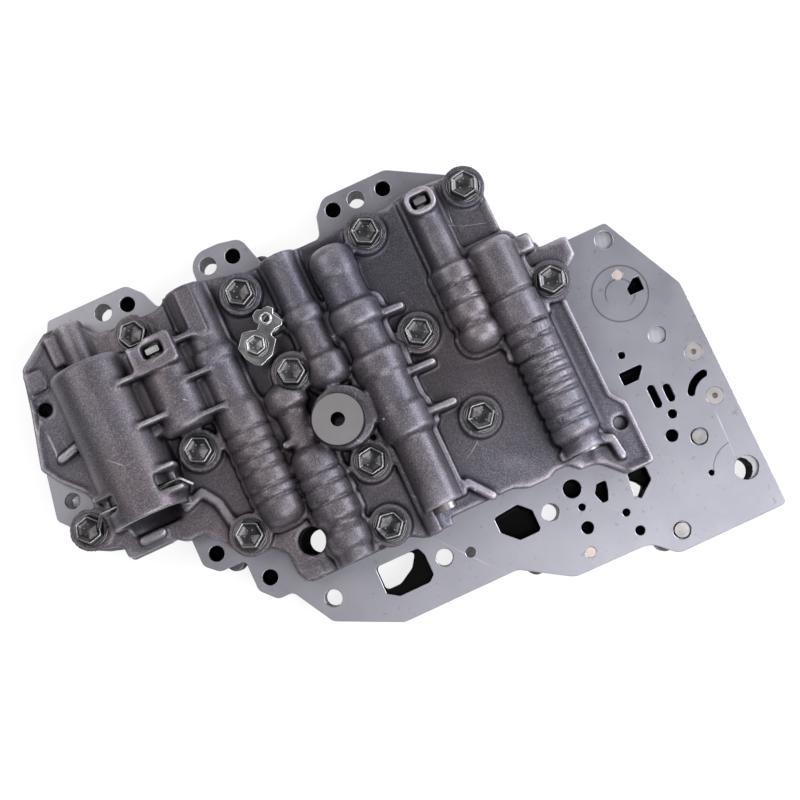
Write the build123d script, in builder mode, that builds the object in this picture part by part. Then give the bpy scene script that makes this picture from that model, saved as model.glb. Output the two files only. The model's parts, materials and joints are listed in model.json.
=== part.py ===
from build123d import *

import os
from dataclasses import dataclass, replace
from math import hypot

# Transmission valve body.
# Two die castings are bolted together with a steel separator plate between them.
# The assembly lies on the machined back of its lower casting, with Z up.
# The valve bores run along Y, side by side along X, in ridges on the upper casting.
# The origin is the middle of the outline, on the face that the assembly lies on.

# Thicknesses of the stack
lower_thick = 14.0
plate_thick = 2.0
slab_thick = 9.0

lower_top = lower_thick
plate_top = lower_top + plate_thick
slab_top = plate_top + slab_thick

# Outline of the separator plate, counterclockwise, with a corner radius for each point
plate_outline = [
    (-133, 16, 4), (-131.5, 5, 6), (-122, 0, 5), (-115.5, -2, 2), (-115.5, -7.5, 2), (-97, -7.5, 2),
    (-94, -5.5, 2), (-90, -5.5, 2), (-90, -21.5, 4), (-84.5, -26.5, 4),
    (-73.5, -26.5, 2), (-73.5, -40, 4), (-67.5, -46.5, 4), (-61, -46.5, 3), (-51, -64, 4), (-24.5, -76.5, 4),
    (26, -76.5, 6), (46, -89, 8), (79.5, -89.5, 10), (88.5, -98, 6), (137, -98, 2.5), (137, 2, 6),
    (119.5, 38, 2), (88, 38, 2), (88, 46, 2), (77.5, 48, 2), (77.5, 79.5, 3), (70.5, 83, 8), (46, 97, 6),
    (17.5, 97, 6), (12, 91, 4), (9.5, 82, 3), (-16.5, 82, 3), (-20.5, 96, 5), (-30, 98, 8), (-44, 98, 8),
    (-44.3, 87, 3), (-48, 84, 2), (-63.5, 84, 3), (-66.5, 92, 4), (-72, 98, 5), (-107.5, 98, 2),
    (-111, 91, 3), (-123.5, 81, 3), (-127.5, 62, 4), (-133, 42, 3), (-137, 20.5, 3),
]

# Outline of the upper casting at the slab
upper_outline = [
    (-130, 5, 6), (-121, 1, 6), (-115, -1, 2), (-115, -7, 2), (-95, -7, 3), (-91, -10, 2), (-83, -10, 3),
    (-74, -22, 8), (-66, -27.5, 8), (-61, -26.5, 3), (-55.5, -32, 3), (-55.5, -41.5, 4), (-52, -46, 4),
    (-8, -46, 4), (-2, -49.5, 4), (5, -49.5, 4), (10, -46, 3), (38, -46, 3), (44, -48.5, 3),
    (53, -48.5, 3), (56, -46.8, 1.5), (62.5, -46.8, 3), (66.5, -50.8, 3), (73.5, -50.8, 8),
    (82.5, -60, 2), (94.5, -60, 2.5), (94.5, -33, 5), (90, -27, 5), (90, 16, 8), (95, 25, 5),
    (101.5, 30, 3), (101.5, 39, 2), (88, 39, 2), (88, 47, 1.5), (78, 47, 1), (78, 80.5, 4),
    (58.5, 82.5, 4), (46.5, 82.5, 4),
    (40, 80.5, 4), (-24, 80.5, 6), (-36, 83.5, 6), (-42, 84.5, 4), (-58, 84.5, 4), (-64, 81.5, 5),
    (-80, 81.5, 5), (-91, 83.5, 5), (-96, 91.5, 4), (-108.5, 92.5, 4), (-123.5, 82, 2), (-127.5, 63, 4),
    (-133, 41, 3), (-128, 33, 3), (-119.5, 24, 8), (-119, 17, 4), (-130, 14, 5),
]
edge_step = 1.0

# Body bolts that hold the stack together: place, and the height of the seat over the slab
body_bolts_at = [
    (71.5, 74.5, 2), (27, 73.5, 4), (-29.5, 72, 5), (-76, 75.5, 0.5), (-23.5, 34, 6), (29.5, 27.5, 3),
    (87, 24, 3), (38, -14, 2.5), (-9.5, -12, 4), (-70.5, 21, 4), (-66, -18.5, 3), (-13.5, -38.5, 3),
    (-124, 10.5, 0.5),
]
thread_r = 3.0
thread_depth = 11.0
thread_gap = 0.05
tip_gap = 1.0
bolt_hole_r = 3.3
hex_flats = 10.0
hex_height = 5.2
flange_r = 7.1
flange_thick = 1.6
dish_rim = 0.7
dish_depth = 1.2
seat_r = 8.8
seat_clear_r = 7.6

# Holes in the plate and the lower casting by which the assembly is bolted to the gearbox
case_bolts_at = [(30, 90.5), (-37.5, 91), (-85, 91.5), (-47, -55.5), (1, -59.5), (48, -61)]
case_bolt_r = 3.6
# Blind holes of the lower casting that show through the plate
blind_holes_at = [(19.5, 90.5), (42, 90), (-26.5, 90.5), (-74.5, 90.5), (-83, -19), (-67, -37), (-128, 25.5)]
blind_r = 3.2
blind_depth = 10.0
# Holes in the plate over a plain machined face
sight_holes_at = [(116, 31.5), (119, -13.5)]
sight_r = 3.7
# Bolts that come through from the back
rear_bolts_at = [(116.5, -58.5), (93.5, -90)]
rear_hex = 8.0
rear_flange_r = 5.1
counterbore_r = 5.6
counterbore_depth = 7.0
# Flush plugs pressed in through the plate
plugs_at = [(129.5, -26), (129.5, -46)]
plug_r = 3.6
plug_length = 8.0
dimple_r = 1.2
orifices_at = [(56, -82.5), (115, 16)]
orifice_r = 2.1
orifice_length = 4.0
pin_at = (11.5, -62)
pin_r = 2.0
press_gap = 0.05
flush_drop = 0.2
tap_ball_r = 3.0
tap_balls_at = [(-100, 58), (-2, 24), (52, 52)]
ball_pocket_gap = 0.4

# Round oil holes through the plate: place and radius
round_ports = [
    (60, -56, 3.8), (60.5, -64.5, 1.5), (59, -73, 2.6), (76, -74, 1.6), (78, -83, 2.0), (110.5, -45.5, 1.9),
    (106.5, -53.5, 2.6), (102, -15, 1.5), (114.5, -74, 1.2),
]
# Shaped oil holes through the plate, each with one corner radius
shaped_ports = [
    ([(26, -53.5), (37, -52.5), (41.5, -57), (41.5, -66), (32, -66), (26, -60)], 1.5),
    ([(116, 6), (122.5, 6), (122.5, 12), (120, 12), (116, 9)], 0.6),
    ([(97.5, -21.5), (107.5, -21.5), (107.5, -23), (104, -27), (97.5, -27)], 1.0),
    ([(67.5, -62), (70, -58.5), (74, -58.5), (73, -63), (71.5, -66.5), (69, -66.5)], 1.0),
    ([(83, -60), (91, -60), (91, -66), (84, -71.5), (82, -69)], 1.0),
]
slot_ports = [(107, -36, 6.9), (113, -37, 4.6)]
slot_r = 1.6
banana_port = [(129.2, -35.8), (124.4, -37.5), (121.4, -40.8)]
wide_port = [(-26.5, -51.5), (-7.5, -51.5), (-6, -55), (-6, -64), (-9, -66), (-22, -66), (-26.5, -63)]
wide_port_r = 1.5
# The lower casting is cut away under the wide port only in part
wide_cut = [(-26.5, -51.5), (-8.5, -51.5), (-13, -58), (-20, -62), (-26.5, -62)]
corner_cut = [(83, -62), (86.5, -65), (88, -67.5), (84, -71.5), (82, -69)]
through_port = (128.5, -78)
through_port_r = 5.0
through_cut_shift = 2.6
port_depth = 6.0
# Rounded corners of the lower casting that stand out past the plate
lower_tabs_at = [(-77.5, -25), (-17, 82.5), (87, 41), (34, -78), (86, -91.5)]
lower_tab_r = 4.2
lower_tab_drop = 2.0
# Rings scribed on the face of the plate
scribe_at = (112.5, 8.5)
scribe_radii = [11.8, 6.3]
scribe_width = 0.5
scribe_depth = 0.15

# Oil channels in the back of the lower casting, as the middle lines of one cutter
channels = [
    [(-118, 70), (-118, 40), (-104, 40), (-104, 66), (-90, 66)],
    [(-110, 28), (-110, 4), (-96, 4), (-96, 28), (-84, 28), (-84, 52), (-94, 52)],
    [(-72, 58), (-72, 36), (-58, 36), (-58, 9), (-82, 9), (-82, -4)],
    [(-60, 66), (-46, 66), (-46, 20), (-34, 20), (-34, 52)],
    [(-52, 2), (-52, -16), (-34, -16), (-34, 6), (-14, 6), (-14, 20)],
    [(-12, 64), (-12, 44), (4, 44), (4, 66), (14, 66)],
    [(0, 30), (14, 30), (14, 8), (1, 8), (1, -7), (22, -7)],
    [(4, -24), (28, -24), (28, -41), (6, -41)],
    [(42, 66), (42, 40), (56, 40), (56, 66)],
    [(46, 26), (46, 4), (62, 4), (62, 28), (74, 28), (74, 46)],
    [(54, -8), (54, -36), (68, -36), (68, -8), (82, -8), (82, 8)],
    [(100, 26), (100, -6), (118, -6), (118, -30)],
    [(96, -20), (96, -50), (80, -50), (80, -26)],
    [(58, -82), (70, -82), (70, -58), (60, -58)],
]
channel_width = 5.5
channel_depth = 6.0

# Valve bores
running_gap = 0.03
stop_gap = 0.1
plug_recess = 1.5
plug_body = 8.0
spring_room = 14.0
spring_turns = 5
spring_gap = 0.05
nib_length = 3.0
stem_share = 0.55
key_thick = 2.4
key_gap = 0.15
key_window = 3.0
key_proud = 3.6
groove_depth = 1.8
mouth_run = 14.0
tank_run = 5.0


@dataclass
class Bore:
    """A bore along Y: its middle line, radius, two ends, what it holds, and how far its mouth lies bare."""

    name: str
    x: float
    rise: float
    radius: float
    blind_y: float
    mouth_y: float
    lands: int
    wire_r: float
    key_width: float
    key_above: bool = False
    hood: float = 0.0

    @property
    def z(self):
        """Height of the middle line."""
        return plate_top + self.rise

    @property
    def side(self):
        """The way the mouth faces along Y."""
        return 1 if self.mouth_y > self.blind_y else -1

    @property
    def depth(self):
        """Length from the blind end to the mouth."""
        return abs(self.mouth_y - self.blind_y)

    def plane(self, reach):
        """A plane across the bore, this far from the blind end and facing the mouth."""
        origin = (self.x, self.blind_y + self.side * reach, self.z)
        return Plane(origin=origin, x_dir=(1, 0, 0), z_dir=(0, self.side, 0))

    @property
    def plug_start(self):
        """Distance from the blind end to the inner face of the plug."""
        return self.depth - plug_recess - plug_body

    @property
    def valve_end(self):
        """Distance from the blind end to the face that the spring pushes on."""
        return self.plug_start - spring_room

    @property
    def key_reach(self):
        """Distance from the blind end to the middle of the plug's groove."""
        return self.plug_start + plug_body / 2

    @property
    def groove_r(self):
        """Radius at the bottom of the plug's groove."""
        return self.radius - groove_depth

    @property
    def guide_r(self):
        """Radius of the nibs that stand inside the spring."""
        return self.radius - 2 * self.wire_r - 1.0


bores = [
    Bore("regulator", -70, 15.5, 6.5, 33, 69.5, 2, 0.6, 5.5, True),
    Bore("shift_left", -50, 13, 5.5, -14, 84, 4, 0.5, 6.0),
    Bore("priority", -10, 13, 3.9, 27, 80, 3, 0.4, 4.5),
    Bore("shift_middle", -30.5, 13, 5.5, 0, -46, 2, 0.5, 6.0),
    Bore("main_pressure", 9.5, 14.5, 5.0, 44, -44, 4, 0.5, 6.0, hood=4.0),
    Bore("converter", 52, 14, 4.2, 13, 80, 3, 0.4, 5.0, True),
    Bore("clutch", 70, 14, 6.0, 44, -46.5, 4, 0.6, 6.5, hood=2.0),
]

# Accumulator: one wide bore with a sprung piston, a cap and a wire clip
tank = Bore("accumulator", -98.5, 15.5, 12.5, 66, 4.5, 0, 1.1, 0)
tank_wall = 3.2
tank_end = 5.5
tank_rounding = 2.5
tank_piston_length = 20.0
tank_piston_wall = 2.5
tank_turns = 6
cap_length = 7.0
tank_floor = 3.0
clip_wire_r = 0.8
clip_rise = 4.5
clip_y = 13.5
window_at = (13.0, 15.0)
window_size = (8.5, 6.5)
window_rise = 2.0
clip_hook = [(20.5, -4.0, -2.5), (17.0, 0.0, 0.0)]
clip_bend = 1.6

# Wall over each bore, from the blind end to the mouth: Y and thickness; the last stands at the mouth
ridge_walls = {
    "regulator": [(30, 4), (0, 4)],
    "shift_left": [
        (-21, 2.8), (-10.5, 3.4), (-9.5, 2.7), (-8.5, 3.9), (-5.5, 3.9), (-4.5, 2.7), (-3.5, 3.9), (2, 3.9),
        (3, 2.7), (4, 3.9), (7.5, 3.9), (8.5, 2.7), (9.5, 3.9), (13, 3.9), (14, 2.7), (15, 3.9), (19, 3.9),
        (20, 2.7), (21, 3.9), (30, 3.9), (33, 2.8), (50, 2.8), (51, 3.9), (55, 3.9), (57, 2.5), (0, 2.5),
    ],
    "priority": [
        (22, 4.7), (34, 4.7), (36, 2.4), (49, 2.4), (50.5, 3.9), (55.5, 3.9), (57, 2.7), (74, 2.7), (0, 3.6),
    ],
    "shift_middle": [
        (4, 3.2), (-6.5, 3.5), (-7.5, 2.6), (-8.5, 3.9), (-12, 3.9), (-13, 2.7), (-14, 3.9), (-19, 3.9),
        (-20, 2.7), (-21, 4.1), (-27, 4.1), (-29.5, 2.2), (-31, 2.2), (-33.5, 3.6), (-39, 3.4), (-41, 1.7),
        (0, 1.7),
    ],
    "main_pressure": [
        (49, 4.4), (47, 5.4), (40, 5.4), (37.5, 3.2), (28, 3.2), (26, 5.4), (17.5, 5.4), (17, 4.6),
        (3.5, 4.6), (2, 5.5), (-8.5, 5.5), (-10, 3.2), (0, 3.2),
    ],
    "converter": [
        (9.5, 4.3), (18.5, 4.3), (20, 2.8), (22.5, 2.8), (23.5, 4.2), (29.5, 4.2), (30.5, 2.8), (31.5, 4.2),
        (37, 4.2), (38, 2.8), (39, 4.2), (45.5, 4.2), (47, 2.3), (0, 2.3),
    ],
    "clutch": [
        (49, 3.6), (26, 3.6), (25, 2.4), (24, 3.9), (12, 3.9), (11, 2.4), (10, 3.9), (6, 3.9),
        (5, 2.4), (4, 3.9), (-1, 3.9), (-2, 2.4), (-3, 3.9), (-5.7, 3.9), (-6.5, 2.4), (-7.5, 3.9),
        (-9.7, 3.9), (-10.5, 2.4), (-11.5, 3.9), (-14, 3.9), (-15, 2.4), (-16, 3.9), (-18.2, 3.9),
        (-19, 2.4), (-20, 3.9), (-25.2, 3.9), (-26.2, 2.4), (-27.2, 3.9), (-30.5, 3.9), (-31.5, 2.4),
        (-32.5, 3.9), (-37, 3.7), (-38.5, 1.7), (0, 1.7),
    ],
}
blind_rounding = {
    "regulator": 2, "shift_left": 6, "priority": 5, "shift_middle": 5, "main_pressure": 3,
    "converter": 6, "clutch": 3,
}
# Step in the slab round each ridge: how far it stands out, and its height over the slab
skirts = {
    "shift_left": (1.8, 3.5), "priority": (1.8, 3.0), "shift_middle": (2.0, 3.5), "main_pressure": (2.6, 4.5),
    "converter": (2.0, 3.0), "clutch": (2.4, 4.0),
}
# Closed passages that look like short ridges: middle X, rise, end rounding and stations
passages = [
    (-100, 8.5, 1, [(68, 6), (91.5, 5.8)]),
    (9.5, 13, 6.5, [(75, 9.4), (63, 9.4), (61, 8.7), (47, 8.7)]),
    (-30.5, 11.5, 6, [(32, 8.8), (22, 8.8), (20, 6.2), (3, 6.2)]),
    (4.5, 11, 1.5, [(-39, 5.6), (-49, 5.4)]),
]
passage_floor = 4.0

# Cast lumps under and between the ridges: corners in X and Y, height over the slab
lumps = [
    (-87, 31, -77, 70, 11.5), (-63, 30.5, -55, 64, 9.0), (-18, 24, -3, 78, 2.0), (-113.5, 6, -81.5, 71, 5.0),
    (-111, 76, -104, 90, 2.2), (60.5, 10, 64, 48, 6.0), (-41, 0, -37, 30, 3.0),
]
lump_corner = 1.6
lump_draft = 8.0
# Flat pads on the ridges, round the key windows and for clamping; the last value is the corner radius
pads = [
    (-80, 56, -61, 69.5, 18.5, 2), (45.6, 69, 58.6, 80, 13.5, 5), (80.5, 38.5, 87, 45.5, 6.0, 1),
    (-54, -45, -45, -40, 0.8, 0.8), (-124.5, 70.5, -116.5, 79.5, 1.6, 0.8), (-54, 62.5, -46.5, 83, 12.8, 0.8),
]

# Stiffening ribs: two ends, and the height over the slab
ribs = [
    (18, 40.5, 27.5, 40, 8), (18, 14.5, 29.5, 14, 8), (18, -3.5, 30.5, -4, 8), (-123, 41.5, -112, 44.5, 3),
    (-38, 8, -22, 9, 8), (-12, -2, -2, 2, 5), (22, -36, 29, -45, 4), (78, -42.8, 82, -44, 5),
    (82, -44, 83, -52, 5), (-85, 2.5, -77, 5.5, 2.4), (-77, 5.5, -72.5, -1, 2.4),
    (-72.5, -1, -70.5, -12, 2.4), (-106, -2.5, -98, -2.5, 3),
]
rib_width = 4.0
# Thin fins across the ridges: one end and its height over the slab, the other end, then the Y of the fin
fins = [
    (-94, 20.5, -73, 16.3, 57.5), (-94, 20, -73, 16.3, 38.5), (-66, 16.3, -52, 13.4, 48.5),
    (-66, 16.3, -52, 13.4, 32.5), (-66, 16.3, -52, 13.4, 64.5), (-92, 20.2, -80.5, 15.5, 19.9),
    (-92, 20.2, -80.5, 15.5, 10.1), (-116.5, 13, -106, 20, 19.6),
]
fin_thick = 2.4
# Raised rims along the edge of the slab
rims = [
    [(-109, 91.2), (-122.5, 81.3), (-126.3, 62.8), (-131.7, 41.2), (-127.2, 33.9), (-119.5, 26)],
    [(83.5, -58.8), (93.3, -58.8), (93.3, -33.5), (88.8, -27.4), (88.8, 14.5)],
    [(76.8, 49), (76.8, 66)],
]
rim_width = 2.0
rim_rise = 1.2

# Round machined boss with a passage through it
port_boss_at = (-14.5, 8)
port_boss_r = 10.2
port_boss_rise = 17.0
port_boss_hole_r = 2.9
port_collar_at = (-12.3, 8.5)
port_collar_r = 13.0
port_collar_rise = 10.0

# Holes through the upper casting
core_hole_at = (-44.5, -31)
core_hole_r = 5.6
lower_core_hole_at = (-42.6, -32)
lower_core_hole_r = 4.8
small_holes_at = [(-121.5, 63), (88.5, -40)]
small_hole_r = 2.8

# Stamped retainer on its own screw
retainer_rise = 7.0
pillar_r = 5.8
pin_pillar_r = 4.6
retainer_thick = 1.2
retainer_outline = [
    (-21.6, 62.4), (-24.4, 62), (-26.2, 62.8), (-28.6, 61.2), (-28.8, 58.6), (-27.4, 57), (-29.3, 55.2),
    (-32.3, 56.2), (-35.2, 56.6), (-39.3, 51.5), (-38.3, 46.5), (-35.8, 42.6), (-33.5, 41.2), (-27.7, 43.2),
    (-23.8, 48.4), (-24.8, 51), (-22.3, 52.6), (-19.2, 52.8), (-18.4, 54.6), (-20.6, 58.4), (-19.6, 60.6),
]
retainer_corner = 0.6
retainer_screw_at = (-32, 49.5)
retainer_hole_at = (-24.2, 58)
retainer_hole_r = 1.6
retainer_lip_r = 2.3
retainer_lip = 0.6
screw_thread_r = 2.5
screw_hex = 8.0
screw_hex_height = 3.8
screw_flange_r = 5.0
screw_flange = 1.2
screw_depth = 10.0
relief_pin_at = (-23, 56)
relief_pin_r = 2.4
relief_pin_length = 10.0


def level(z):
    """A horizontal plane at this height."""
    return Plane.XY.offset(z)


def area(points, z, inset=0.0):
    """The face inside an outline whose points each carry a corner radius."""
    with BuildSketch(level(z)) as shape:
        with BuildLine():
            FilletPolyline(*[(x, y) for x, y, _ in points], radius=[r for _, _, r in points], close=True)
        make_face()
        if inset:
            offset(amount=-inset, kind=Kind.INTERSECTION)
    return shape.sketch


def polygon_area(corners, radius, z):
    """The face of a polygon whose corners share one radius."""
    return area([(x, y, radius) for x, y in corners], z)


def half_plan(x, stations, rounding, z):
    """One side of a ridge's plan view, from its middle line outwards."""
    rim = [(x + r, y, 0.0) for y, r in stations]
    rim[0] = (*rim[0][:2], rounding)
    return area([(x, stations[0][0], 0.0), *rim, (x, stations[-1][0], 0.0)], z)


def ridge(x, z, floor_z, stations, rounding):
    """A half round ridge with straight flanks down to the floor."""
    half = half_plan(x, stations, rounding, z)
    with BuildSketch(level(z)) as flanks:
        add(half)
        mirror(about=Plane(origin=(x, 0, 0), z_dir=(1, 0, 0)))
    with BuildPart() as raised:
        revolve(half, axis=Axis((x, 0, z), (0, -1, 0)), revolution_arc=180)
        extrude(flanks.sketch, amount=floor_z - z)
    return raised.part


def ridge_steps(of, extra=0.0):
    """Y and outer radius of a bore's ridge from its blind end to its mouth, grown by an extra all round."""
    walls = ridge_walls[of.name]
    end_y = of.mouth_y - of.side * of.hood
    steps = [(y, of.radius + wall + extra) for y, wall in walls[:-1]]
    steps[0] = (steps[0][0] - of.side * extra, steps[0][1])
    return [*steps, (end_y, of.radius + walls[-1][1] + extra)]


def bore_ridge(of):
    """The ridge over one bore, whose outside follows the bore's own size."""
    return ridge(of.x, of.z, plate_top, ridge_steps(of), blind_rounding[of.name])


def skirt(of):
    """The low step in the slab that follows a bore's ridge."""
    width, height = skirts[of.name]
    half = half_plan(of.x, ridge_steps(of, width), blind_rounding[of.name] + width, plate_top)
    with BuildPart() as step:
        with BuildSketch(level(plate_top)):
            add(half)
            mirror(half, about=Plane(origin=(of.x, 0, 0), z_dir=(1, 0, 0)))
        extrude(amount=slab_thick + height)
    return step.part


def discs(z, *rounds):
    """Round faces at one level, from pairs of a list of places and their radius."""
    with BuildSketch(level(z)) as faces:
        for places, radius in rounds:
            with Locations(*[(p[0], p[1]) for p in places]):
                Circle(radius)
    return faces.sketch


def flange_bolt(x, y, seat_z, flats, height, collar_r, collar, shank_r, reach, up=1):
    """A flange bolt with a hexagon head whose top is hollowed; its shank runs the other way."""
    seat = Plane(origin=(x, y, seat_z), x_dir=(1, 0, 0), z_dir=(0, 0, up))
    with BuildPart() as bolt:
        with BuildSketch(seat):
            Circle(collar_r)
        extrude(amount=collar, taper=20)
        with BuildSketch(seat):
            RegularPolygon(flats / 2, 6, major_radius=False)
        extrude(amount=height)
        with BuildSketch(seat.offset(height)):
            RegularPolygon(flats / 2 - dish_rim, 6, major_radius=False)
        extrude(amount=-dish_depth, taper=55, mode=Mode.SUBTRACT)
        with BuildSketch(seat):
            Circle(shank_r)
        extrude(amount=-reach)
    return bolt.part


def spool(of):
    """A spool valve: equal lands on a thinner stem, a stop at one end and a spring nib at the other."""
    land_r = of.radius - running_gap
    stem_r = of.radius * stem_share
    length = of.valve_end - stop_gap
    stop = nib_length / 2
    pitch = (length - stop) / (of.lands - 0.5)
    with BuildPart() as valve:
        with BuildSketch(of.plane(stop_gap)):
            Circle(stem_r)
        extrude(amount=length)
        for land in range(of.lands):
            with BuildSketch(of.plane(stop_gap + stop + land * pitch)):
                Circle(land_r)
            extrude(amount=pitch / 2)
        with BuildSketch(of.plane(of.valve_end)):
            Circle(of.guide_r)
        extrude(amount=nib_length)
    return valve.part


def spring(of, start, length, turns):
    """A coil spring between two faces of a bore."""
    coil_r = of.radius - running_gap - of.wire_r - spring_gap * 4
    reach = length - 2 * (of.wire_r + spring_gap)
    foot = of.plane(start + of.wire_r + spring_gap)
    with BuildPart() as coil:
        with BuildLine() as path:
            Helix(reach / turns, reach, coil_r, center=foot.origin, direction=foot.z_dir)
        with BuildSketch(Plane(origin=path.line @ 0, z_dir=path.line % 0)):
            RegularPolygon(of.wire_r, 6)
        sweep(is_frenet=True)
    return coil.part


def bore_plug(of):
    """A plug with a groove for its key and a nib inside the spring."""
    plug_r = of.radius - running_gap
    with BuildPart() as plug:
        with BuildSketch(of.plane(of.plug_start)):
            Circle(plug_r)
        extrude(amount=plug_body)
        with BuildSketch(of.plane(of.key_reach - key_thick / 2 - key_gap)):
            Circle(plug_r)
            Circle(of.groove_r, mode=Mode.SUBTRACT)
        extrude(amount=key_thick + 2 * key_gap, mode=Mode.SUBTRACT)
        with BuildSketch(of.plane(of.plug_start)):
            Circle(of.guide_r)
        extrude(amount=-nib_length)
    return plug.part


def key_span(of):
    """Lowest and highest point of a bore's key."""
    if of.key_above:
        return of.z + of.groove_r + key_gap, of.z + of.radius + key_proud
    return plate_top + key_gap, of.z - of.groove_r - key_gap


def key(of):
    """A flat key that stands in the groove of the plug."""
    low, high = key_span(of)
    with BuildPart() as flat:
        with BuildSketch(level(low)):
            with Locations((of.x, of.plane(of.key_reach).origin.Y)):
                RectangleRounded(of.key_width, key_thick, key_gap * 4)
        extrude(amount=high - low)
    return flat.part


def plate_ports(z):
    """Every shaped and round oil hole of the plate, as one set of faces."""
    with BuildSketch(level(z)) as ports:
        for x, y, r in round_ports:
            with Locations((x, y)):
                Circle(r)
        for corners, radius in shaped_ports:
            with BuildLine():
                FilletPolyline(*corners, radius=radius, close=True)
            make_face()
        for x, y, span in slot_ports:
            with Locations((x, y)):
                SlotCenterToCenter(span, 2 * slot_r, rotation=90)
        with BuildLine(mode=Mode.PRIVATE) as bend:
            ThreePointArc(*banana_port)
        SlotArc(bend.edge(), 2 * slot_r)
    return ports.sketch


def channel_floor():
    """The plan of every oil channel in the back of the lower casting."""
    with BuildSketch() as cuts:
        for route in channels:
            with BuildLine() as path:
                Polyline(*route)
            trace(line_width=channel_width)
    return cuts.sketch


def rib(xa, ya, xb, yb, height):
    """A round ended rib between two points of the slab."""
    middle = Plane(origin=((xa + xb) / 2, (ya + yb) / 2, slab_top), x_dir=(xb - xa, yb - ya, 0))
    with BuildPart() as wall:
        with BuildSketch(middle):
            SlotCenterToCenter(hypot(xb - xa, yb - ya), rib_width)
        extrude(amount=height, taper=4)
    return wall.part


def fin(xa, rise_a, xb, rise_b, y):
    """A thin fin across the ridges whose top slopes from one end to the other."""
    with BuildPart() as wall:
        with BuildSketch(Plane(origin=(0, y, slab_top), x_dir=(1, 0, 0), z_dir=(0, -1, 0))):
            Polygon((xa, 0), (xb, 0), (xb, rise_b), (xa, rise_a), align=None)
        extrude(amount=fin_thick / 2, both=True)
    return wall.part


def raised_block(x0, y0, x1, y1, height, corner, draft=0.0):
    """A drafted block with rounded corners on the slab."""
    with BuildPart() as lump:
        with BuildSketch(level(slab_top)):
            with Locations(((x0 + x1) / 2, (y0 + y1) / 2)):
                RectangleRounded(x1 - x0, y1 - y0, corner)
        extrude(amount=height, taper=draft)
    return lump.part


def post(place, radius, height):
    """A round boss on the slab."""
    with BuildPart() as boss:
        with BuildSketch(level(slab_top)):
            with Locations(place):
                Circle(radius)
        extrude(amount=height)
    return boss.part


# Lower casting, with a flat machined face above and below
drain_at = (through_port[0] - through_cut_shift, through_port[1])
ball_pocket_r = tap_ball_r + ball_pocket_gap
with BuildPart() as lower_body:
    extrude(area(plate_outline, 0, edge_step), amount=lower_thick)
    extrude(discs(lower_tab_drop, (lower_tabs_at, lower_tab_r)), amount=lower_thick - 2 * lower_tab_drop)
    with BuildSketch(level(lower_top)) as open_through:
        add(discs(lower_top, (case_bolts_at, case_bolt_r), (rear_bolts_at, thread_r + thread_gap)))
        add(discs(lower_top, ([drain_at], through_port_r), ([lower_core_hole_at], lower_core_hole_r)))
        add(polygon_area(wide_cut, wide_port_r, lower_top))
        add(polygon_area(corner_cut, wide_port_r / 2, lower_top))
    extrude(open_through.sketch, amount=-lower_thick, mode=Mode.SUBTRACT)
    threads = discs(lower_top, (body_bolts_at, thread_r + thread_gap))
    extrude(threads, amount=-thread_depth, mode=Mode.SUBTRACT)
    extrude(discs(lower_top, (blind_holes_at, blind_r)), amount=-blind_depth, mode=Mode.SUBTRACT)
    seats = discs(lower_top, (plugs_at, plug_r + press_gap), ([pin_at], pin_r + press_gap))
    extrude(seats, amount=plate_thick - plug_length, mode=Mode.SUBTRACT)
    orifice_seats = discs(lower_top, (orifices_at, orifice_r + press_gap))
    extrude(orifice_seats, amount=plate_thick - orifice_length, mode=Mode.SUBTRACT)
    pockets = discs(lower_top, (tap_balls_at, ball_pocket_r))
    extrude(pockets, amount=-2 * tap_ball_r - ball_pocket_gap / 2, mode=Mode.SUBTRACT)
    extrude(plate_ports(lower_top), amount=-port_depth, mode=Mode.SUBTRACT)
    extrude(discs(0, (rear_bolts_at, counterbore_r)), amount=counterbore_depth, mode=Mode.SUBTRACT)
    extrude(channel_floor(), amount=channel_depth, mode=Mode.SUBTRACT)
lower_body.part.label = "lower_body"

# Steel separator plate
with BuildPart() as separator_plate:
    extrude(area(plate_outline, lower_top), amount=plate_thick)
    with BuildSketch(level(plate_top)) as punched:
        add(discs(plate_top, (body_bolts_at, bolt_hole_r), (case_bolts_at, case_bolt_r)))
        add(discs(plate_top, (blind_holes_at, blind_r), (sight_holes_at + rear_bolts_at, sight_r)))
        add(discs(plate_top, (plugs_at, plug_r + press_gap), (orifices_at, orifice_r + press_gap)))
        add(discs(plate_top, ([pin_at], pin_r + press_gap), ([through_port], through_port_r)))
        add(discs(plate_top, ([core_hole_at], core_hole_r)))
        add(plate_ports(plate_top))
        add(polygon_area(wide_port, wide_port_r, plate_top))
    extrude(punched.sketch, amount=-plate_thick, mode=Mode.SUBTRACT)
    with BuildSketch(level(plate_top)) as rings:
        with Locations(scribe_at):
            for r in scribe_radii:
                Circle(r)
                Circle(r - scribe_width, mode=Mode.SUBTRACT)
    extrude(rings.sketch, amount=-scribe_depth, mode=Mode.SUBTRACT)
separator_plate.part.label = "separator_plate"

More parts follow.
